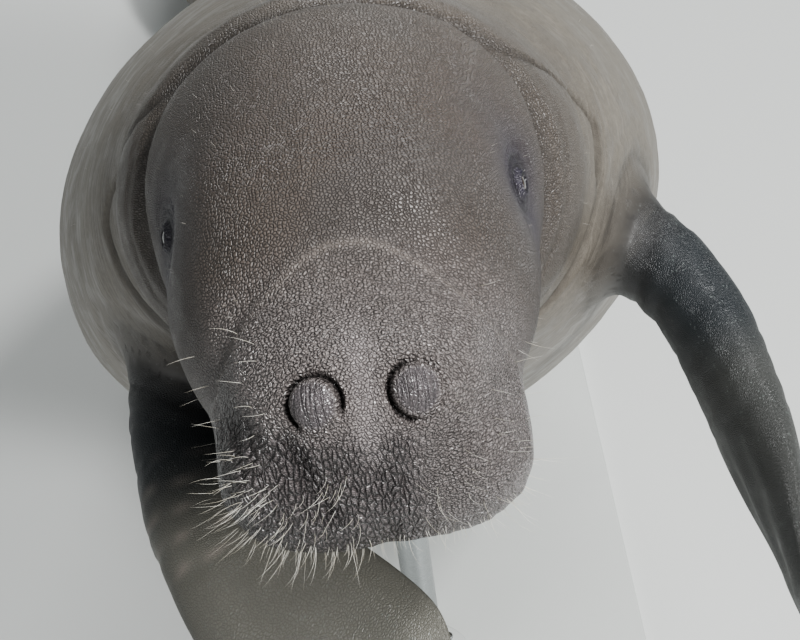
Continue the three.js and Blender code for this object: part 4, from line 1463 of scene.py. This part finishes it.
def tube(root, out, way, length, radius):
    """Rings of a tapering tube that leaves the skin along out and bends over to way."""
    tube_rings = []
    at = root - out * SUNK
    for i in range(TUBE_RINGS):
        share = i / (TUBE_RINGS - 1)
        going = unit(out * (1 - share) + way * share)
        sideways = unit(np.cross(going, (0.31, 0.2, 0.93)))
        crosswise = np.cross(going, sideways)
        thin = radius * (1 - TUBE_TAPER * share)
        ring_turn = 2 * np.pi * np.arange(TUBE_SIDES) / TUBE_SIDES
        ring = np.outer(np.cos(ring_turn), sideways) + np.outer(np.sin(ring_turn), crosswise)
        tube_rings.append(at + thin * ring)
        at = at + going * length / (TUBE_RINGS - 1)
    return tube_rings


# %% [markdown]
# Roots are picked by chance, more where the skin says that bristles grow thickly. Each bristle's
# small patch in the colour map lies where its root is on the skin's own map, so that both take the
# same light and colour there when they are baked.

# %% Grow the bristles
PATCH = 0.003
SPREAD = 0.42
ROOT_SPREAD = 0.16


def bristle_piece(name, where, count, low, high, radius, droop, lean):
    chance = where * area
    picked = rng.choice(len(area), count, p=chance / chance.sum())
    points, faces, patches = [], [], []
    for face in picked:
        share = rng.dirichlet((1, 1, 1))
        root = share @ skin_points[corners[face]]
        out = unit(share @ skin_normals[corners[face]])
        spot = share @ flat_map[loops[face]]
        way = out + np.array([np.sign(middle[face][0]) * lean, 0, -droop]) + rng.normal(0, SPREAD, 3)
        length = rng.uniform(low, high) / 1000
        leaving = unit(out + rng.normal(0, ROOT_SPREAD, 3))
        start = len(points)
        points += [p for ring in tube(root, leaving, unit(way), length, radius / 1000) for p in ring]
        for i in range(TUBE_RINGS - 1):
            a = start + i * TUBE_SIDES
            for j in range(TUBE_SIDES):
                k = (j + 1) % TUBE_SIDES
                faces.append((a + j, a + k, a + TUBE_SIDES + k, a + TUBE_SIDES + j))
                patch = [(j, i), (j + 1, i), (j + 1, i + 1), (j, i + 1)]
                patches += [spot + (np.array(q) / (TUBE_SIDES, TUBE_RINGS) - 0.5) * PATCH for q in patch]
        top = start + (TUBE_RINGS - 1) * TUBE_SIDES
        faces += [tuple(range(start, start + TUBE_SIDES))[::-1], tuple(range(top, top + TUBE_SIDES))]
        patches += [spot + np.array(q) * PATCH / 3 for q in ((0, 0), (1, 0), (1, 1), (0, 1)) * 2]
    made = bpy.data.meshes.new(name)
    made.from_pydata([tuple(p) for p in points], [], faces)
    layer = made.uv_layers.new(name=MAP_NAME)
    layer.data.foreach_set("uv", np.clip(np.array(patches), 0, 1).ravel())
    piece = bpy.data.objects.new(name, made)
    scene.collection.objects.link(piece)
    outwards(piece)
    bpy.ops.object.shade_smooth()
    piece.data.materials.append(hair)
    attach(piece, "root")
    print(name, "of", len(made.polygons), "faces")


hair, tree, shader = finish_of("bristle_horn")
shade = group_node(tree, clouds, object_place(tree), scale=70.0, low=0.35, high=0.65).outputs["Mask"]
tree.links.new(tinted(tree, linear(208, 206, 198), shade, linear(176, 170, 156)), shader.inputs["Base Color"])
shader.inputs["Roughness"].default_value = 0.35
for name, settings in BRISTLES.items():
    bristle_piece(f"bristles_{name}", *settings)

# %% [markdown]
# The stand is a heavy painted plate with two steel rods. Its paint is a pale satin grey with a
# faint haze and a fine orange peel, and the steel is brushed, which noise squeezed flat gives.

# %% Stand finishes
paint, tree, shader = finish_of("stand_paint")
everywhere = object_place(tree)
haze = group_node(tree, clouds, everywhere, scale=3.0, low=0.3, high=0.75).outputs["Mask"]
colour = tinted(tree, linear(196, 199, 196), times(tree, haze, 0.4), linear(184, 187, 185))
tree.links.new(colour, shader.inputs["Base Color"])
tree.links.new(ramp(tree, haze, 0.0, 1.0, 0.4, 0.52), shader.inputs["Roughness"])
peel = group_node(tree, clouds, everywhere, scale=420.0, low=0.3, high=0.7).outputs["Mask"]
tree.links.new(bumped(tree, peel, 0.05), shader.inputs["Normal"])

steel, tree, shader = finish_of("brushed_steel")
squeezed = scaled(tree, object_place(tree), (60, 60, 2200))
brushed = group_node(tree, clouds, squeezed, scale=1.0, low=0.3, high=0.7).outputs["Mask"]
colour = tinted(tree, linear(180, 183, 184), times(tree, brushed, 0.4), linear(150, 153, 155))
tree.links.new(colour, shader.inputs["Base Color"])
shader.inputs["Metallic"].default_value = 1.0
tree.links.new(ramp(tree, brushed, 0.0, 1.0, 0.24, 0.4), shader.inputs["Roughness"])
print("finishes:", ", ".join(m.name for m in bpy.data.materials if m.use_nodes))

# %% [markdown]
# All pieces of the stand are finished alike: shading is smooth except at real edges, and the piece
# takes the place of its solid. All but the rods also get a small bevel that takes the sharp edge off,
# as a file does.


# %% Helpers for the stand
BEVEL = 0.003


def stand_piece(piece, node, material, angle=40):
    """A finished piece with its material, in the place of its solid."""
    alone(piece)
    bpy.ops.object.transform_apply(location=True, rotation=True, scale=True)
    bpy.ops.object.shade_smooth_by_angle(angle=math.radians(angle))
    piece.data.materials.clear()
    piece.data.materials.append(material)
    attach(piece, "root")
    if node:
        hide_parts(node)


def bevelled(piece, width, segments, limit=60):
    """All sharp edges of a piece are broken."""
    alone(piece)
    made = piece.modifiers.new("bevel", "BEVEL")
    made.width, made.segments = width, segments
    made.limit_method, made.angle_limit = "ANGLE", math.radians(limit)
    bpy.ops.object.modifier_apply(modifier="bevel")


def drum(name, radius, low, high, x, y, sides=96):
    """An upright cylinder from low to high."""
    bpy.ops.object.select_all(action="DESELECT")
    bpy.ops.mesh.primitive_cylinder_add(
        vertices=sides, radius=radius, depth=high - low, location=(x, y, (low + high) / 2)
    )
    bpy.context.object.name = name
    return bpy.context.object


# %% [markdown]
# The base is a plate with round corners. A cube is scaled to the frame's own box, its four upright
# edges are bevelled wide in edit mode, and a modifier then breaks the sharp rims.

# %% Base plate
CORNER = 0.07

low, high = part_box("stand_base")
bpy.ops.object.select_all(action="DESELECT")
bpy.ops.mesh.primitive_cube_add(size=1, location=(low + high) / 2)
plate = bpy.context.object
plate.name = "base_plate"
plate.scale = high - low
bpy.ops.object.transform_apply(location=False, rotation=False, scale=True)
bpy.ops.object.mode_set(mode="EDIT")
bpy.ops.mesh.select_mode(type="EDGE")
bpy.ops.mesh.select_all(action="DESELECT")
bpy.ops.object.mode_set(mode="OBJECT")
for edge in plate.data.edges:
    a, b = (plate.data.vertices[i].co for i in edge.vertices)
    edge.select = abs(a.z - b.z) > 0.01
bpy.ops.object.mode_set(mode="EDIT")
bpy.ops.mesh.bevel(offset=CORNER, offset_type="OFFSET", segments=14, affect="EDGES")
bpy.ops.mesh.select_mode(type="FACE")
bpy.ops.object.mode_set(mode="OBJECT")
bevelled(plate, BEVEL, 3)
stand_piece(plate, "stand_base", paint)
print("base plate", [round(q, 3) for q in plate.dimensions])

# %% [markdown]
# Each rod is held by a screwed flange and ends in a shallow cup. The cup starts as a plain drum,
# and the skin itself is cut out of it, so that it follows the belly exactly. It then sinks by a
# hair's breadth, so that the two never share a surface.

# %% Rods, flanges and cups
SCREWS = 4
SCREW_CIRCLE = 0.045
SCREW_RADIUS = 0.0065
CUP_CLEARANCE = 0.0003

for name in ("front", "rear"):
    low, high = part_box(f"stand_flange_{name}")
    x, y = (low.x + high.x) / 2, (low.y + high.y) / 2
    flange = drum(f"flange_{name}", (high.x - low.x) / 2, low.z, high.z, x, y)
    bevelled(flange, BEVEL, 3)
    stand_piece(flange, f"stand_flange_{name}", paint)
    for i in range(SCREWS):
        a = math.pi * (0.25 + 0.5 * i)
        sx, sy = x + SCREW_CIRCLE * math.cos(a), y + SCREW_CIRCLE * math.sin(a)
        screw = drum(f"screw_{name}_{i + 1}", SCREW_RADIUS, high.z - 0.001, high.z + 0.005, sx, sy, 40)
        bevelled(screw, 0.0008, 2)
        bpy.ops.object.mode_set(mode="EDIT")
        bpy.ops.mesh.select_all(action="DESELECT")
        bpy.ops.object.mode_set(mode="OBJECT")
        top = max(screw.data.polygons, key=lambda f: (round(f.center.z, 5), f.area))
        top.select = True
        bpy.ops.object.mode_set(mode="EDIT")
        bpy.ops.mesh.inset(thickness=0.0028)
        bpy.ops.mesh.extrude_region_move(TRANSFORM_OT_translate={"value": (0, 0, -0.003)})
        bpy.ops.object.mode_set(mode="OBJECT")
        stand_piece(screw, None, steel)
    low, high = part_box(f"stand_rod_{name}")
    rod = drum(f"rod_{name}", (high.x - low.x) / 2, low.z, high.z, x, y)
    stand_piece(rod, f"stand_rod_{name}", steel)
    low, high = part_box(f"stand_cup_{name}")
    cup = drum(f"cup_{name}", (high.x - low.x) / 2, low.z, high.z, x, y)
    bevelled(cup, BEVEL, 3)
    seat = cup.modifiers.new("seat", "BOOLEAN")
    seat.operation, seat.solver, seat.object = "DIFFERENCE", "EXACT", skin
    bpy.ops.object.modifier_apply(modifier="seat")
    cup.location.z -= CUP_CLEARANCE
    stand_piece(cup, f"stand_cup_{name}", paint, angle=35)
    print(name, "rod of", round(rod.dimensions.z, 3), "m, cup", [round(q, 3) for q in cup.dimensions])

# %% [markdown]
# A plain pale floor carries the stand and catches its shadow.

# %% Floor
bpy.ops.object.select_all(action="DESELECT")
bpy.ops.mesh.primitive_plane_add(size=80, location=(0, 0, 0))
floor = bpy.context.object
floor.name = "floor"
pale_floor, tree, shader = finish_of("pale_floor")
shader.inputs["Base Color"].default_value = (*linear(206, 208, 206), 1)
shader.inputs["Roughness"].default_value = 0.85
floor.data.materials.append(pale_floor)
print("floor of", round(floor.dimensions.x), "m")

# %% [markdown]
# Soft studio light shows the shape. The main light comes from the upper right, as on the animal in
# life, a second one from above makes the wet snout shine, and weak ones open up the shadows. The
# picture's look has a little more contrast than the plain one.

# %% Light
LIGHTS = (  # name, place, size, watts
    ("key", (2.0, -3.0, 3.6), 0.7, 175),
    ("top", (1.5, -1.1, 4.4), 0.5, 120),
    ("fill", (-3.4, -2.2, 2.2), 2.6, 26),
    ("back", (0.8, 4.2, 3.4), 2.6, 110),
)
scene.view_settings.look = "AgX - Medium High Contrast"
aim = Vector((0, -0.4, 1.0))
for name, at, size, watts in LIGHTS:
    bpy.ops.object.light_add(type="AREA", location=at)
    lamp = bpy.context.object
    lamp.name = f"{name}_light"
    lamp.data.size = size
    lamp.data.energy = watts
    lamp.rotation_mode = "QUATERNION"
    lamp.rotation_quaternion = (aim - Vector(at)).to_track_quat("-Z", "Y")

WORLD_COLOUR = (0.86, 0.9, 0.92, 1)
WORLD_STRENGTH = 0.3
world = bpy.data.worlds.new("studio")
scene.world = world
world.use_nodes = True
sky = world.node_tree.nodes["Background"]
sky.inputs["Color"].default_value = WORLD_COLOUR
sky.inputs["Strength"].default_value = WORLD_STRENGTH
print(len(LIGHTS), "lights")

# %% [markdown]
# The camera looks down on the raised snout from in front, close enough that the head is large and
# the body behind it small, and is turned a little about its own line of sight.

# %% Camera
CAMERA_TILT = math.radians(55)
CAMERA_DISTANCE = 1.5
CAMERA_LENS = 91.9
CAMERA_ROLL = math.radians(-8)
nose = Vector((0, *place([0, 0, 0])[1:]))
back_off = Vector((0, -math.cos(CAMERA_TILT), math.sin(CAMERA_TILT)))
upwards = Vector((0, math.sin(CAMERA_TILT), math.cos(CAMERA_TILT)))
eye_place = nose + back_off * CAMERA_DISTANCE
aim = nose + Vector((0.016, 0, 0)) + upwards * 0.092
bpy.ops.object.camera_add(location=eye_place)
camera = bpy.context.object
camera.name = "camera"
camera.data.sensor_width = 36
camera.data.lens = CAMERA_LENS
turned = (aim - eye_place).to_track_quat("-Z", "Y").to_matrix().to_4x4()
camera.matrix_world = Matrix.Translation(eye_place) @ turned @ Matrix.Rotation(CAMERA_ROLL, 4, "Z")
scene.camera = camera
print("camera at", [round(q, 3) for q in eye_place])
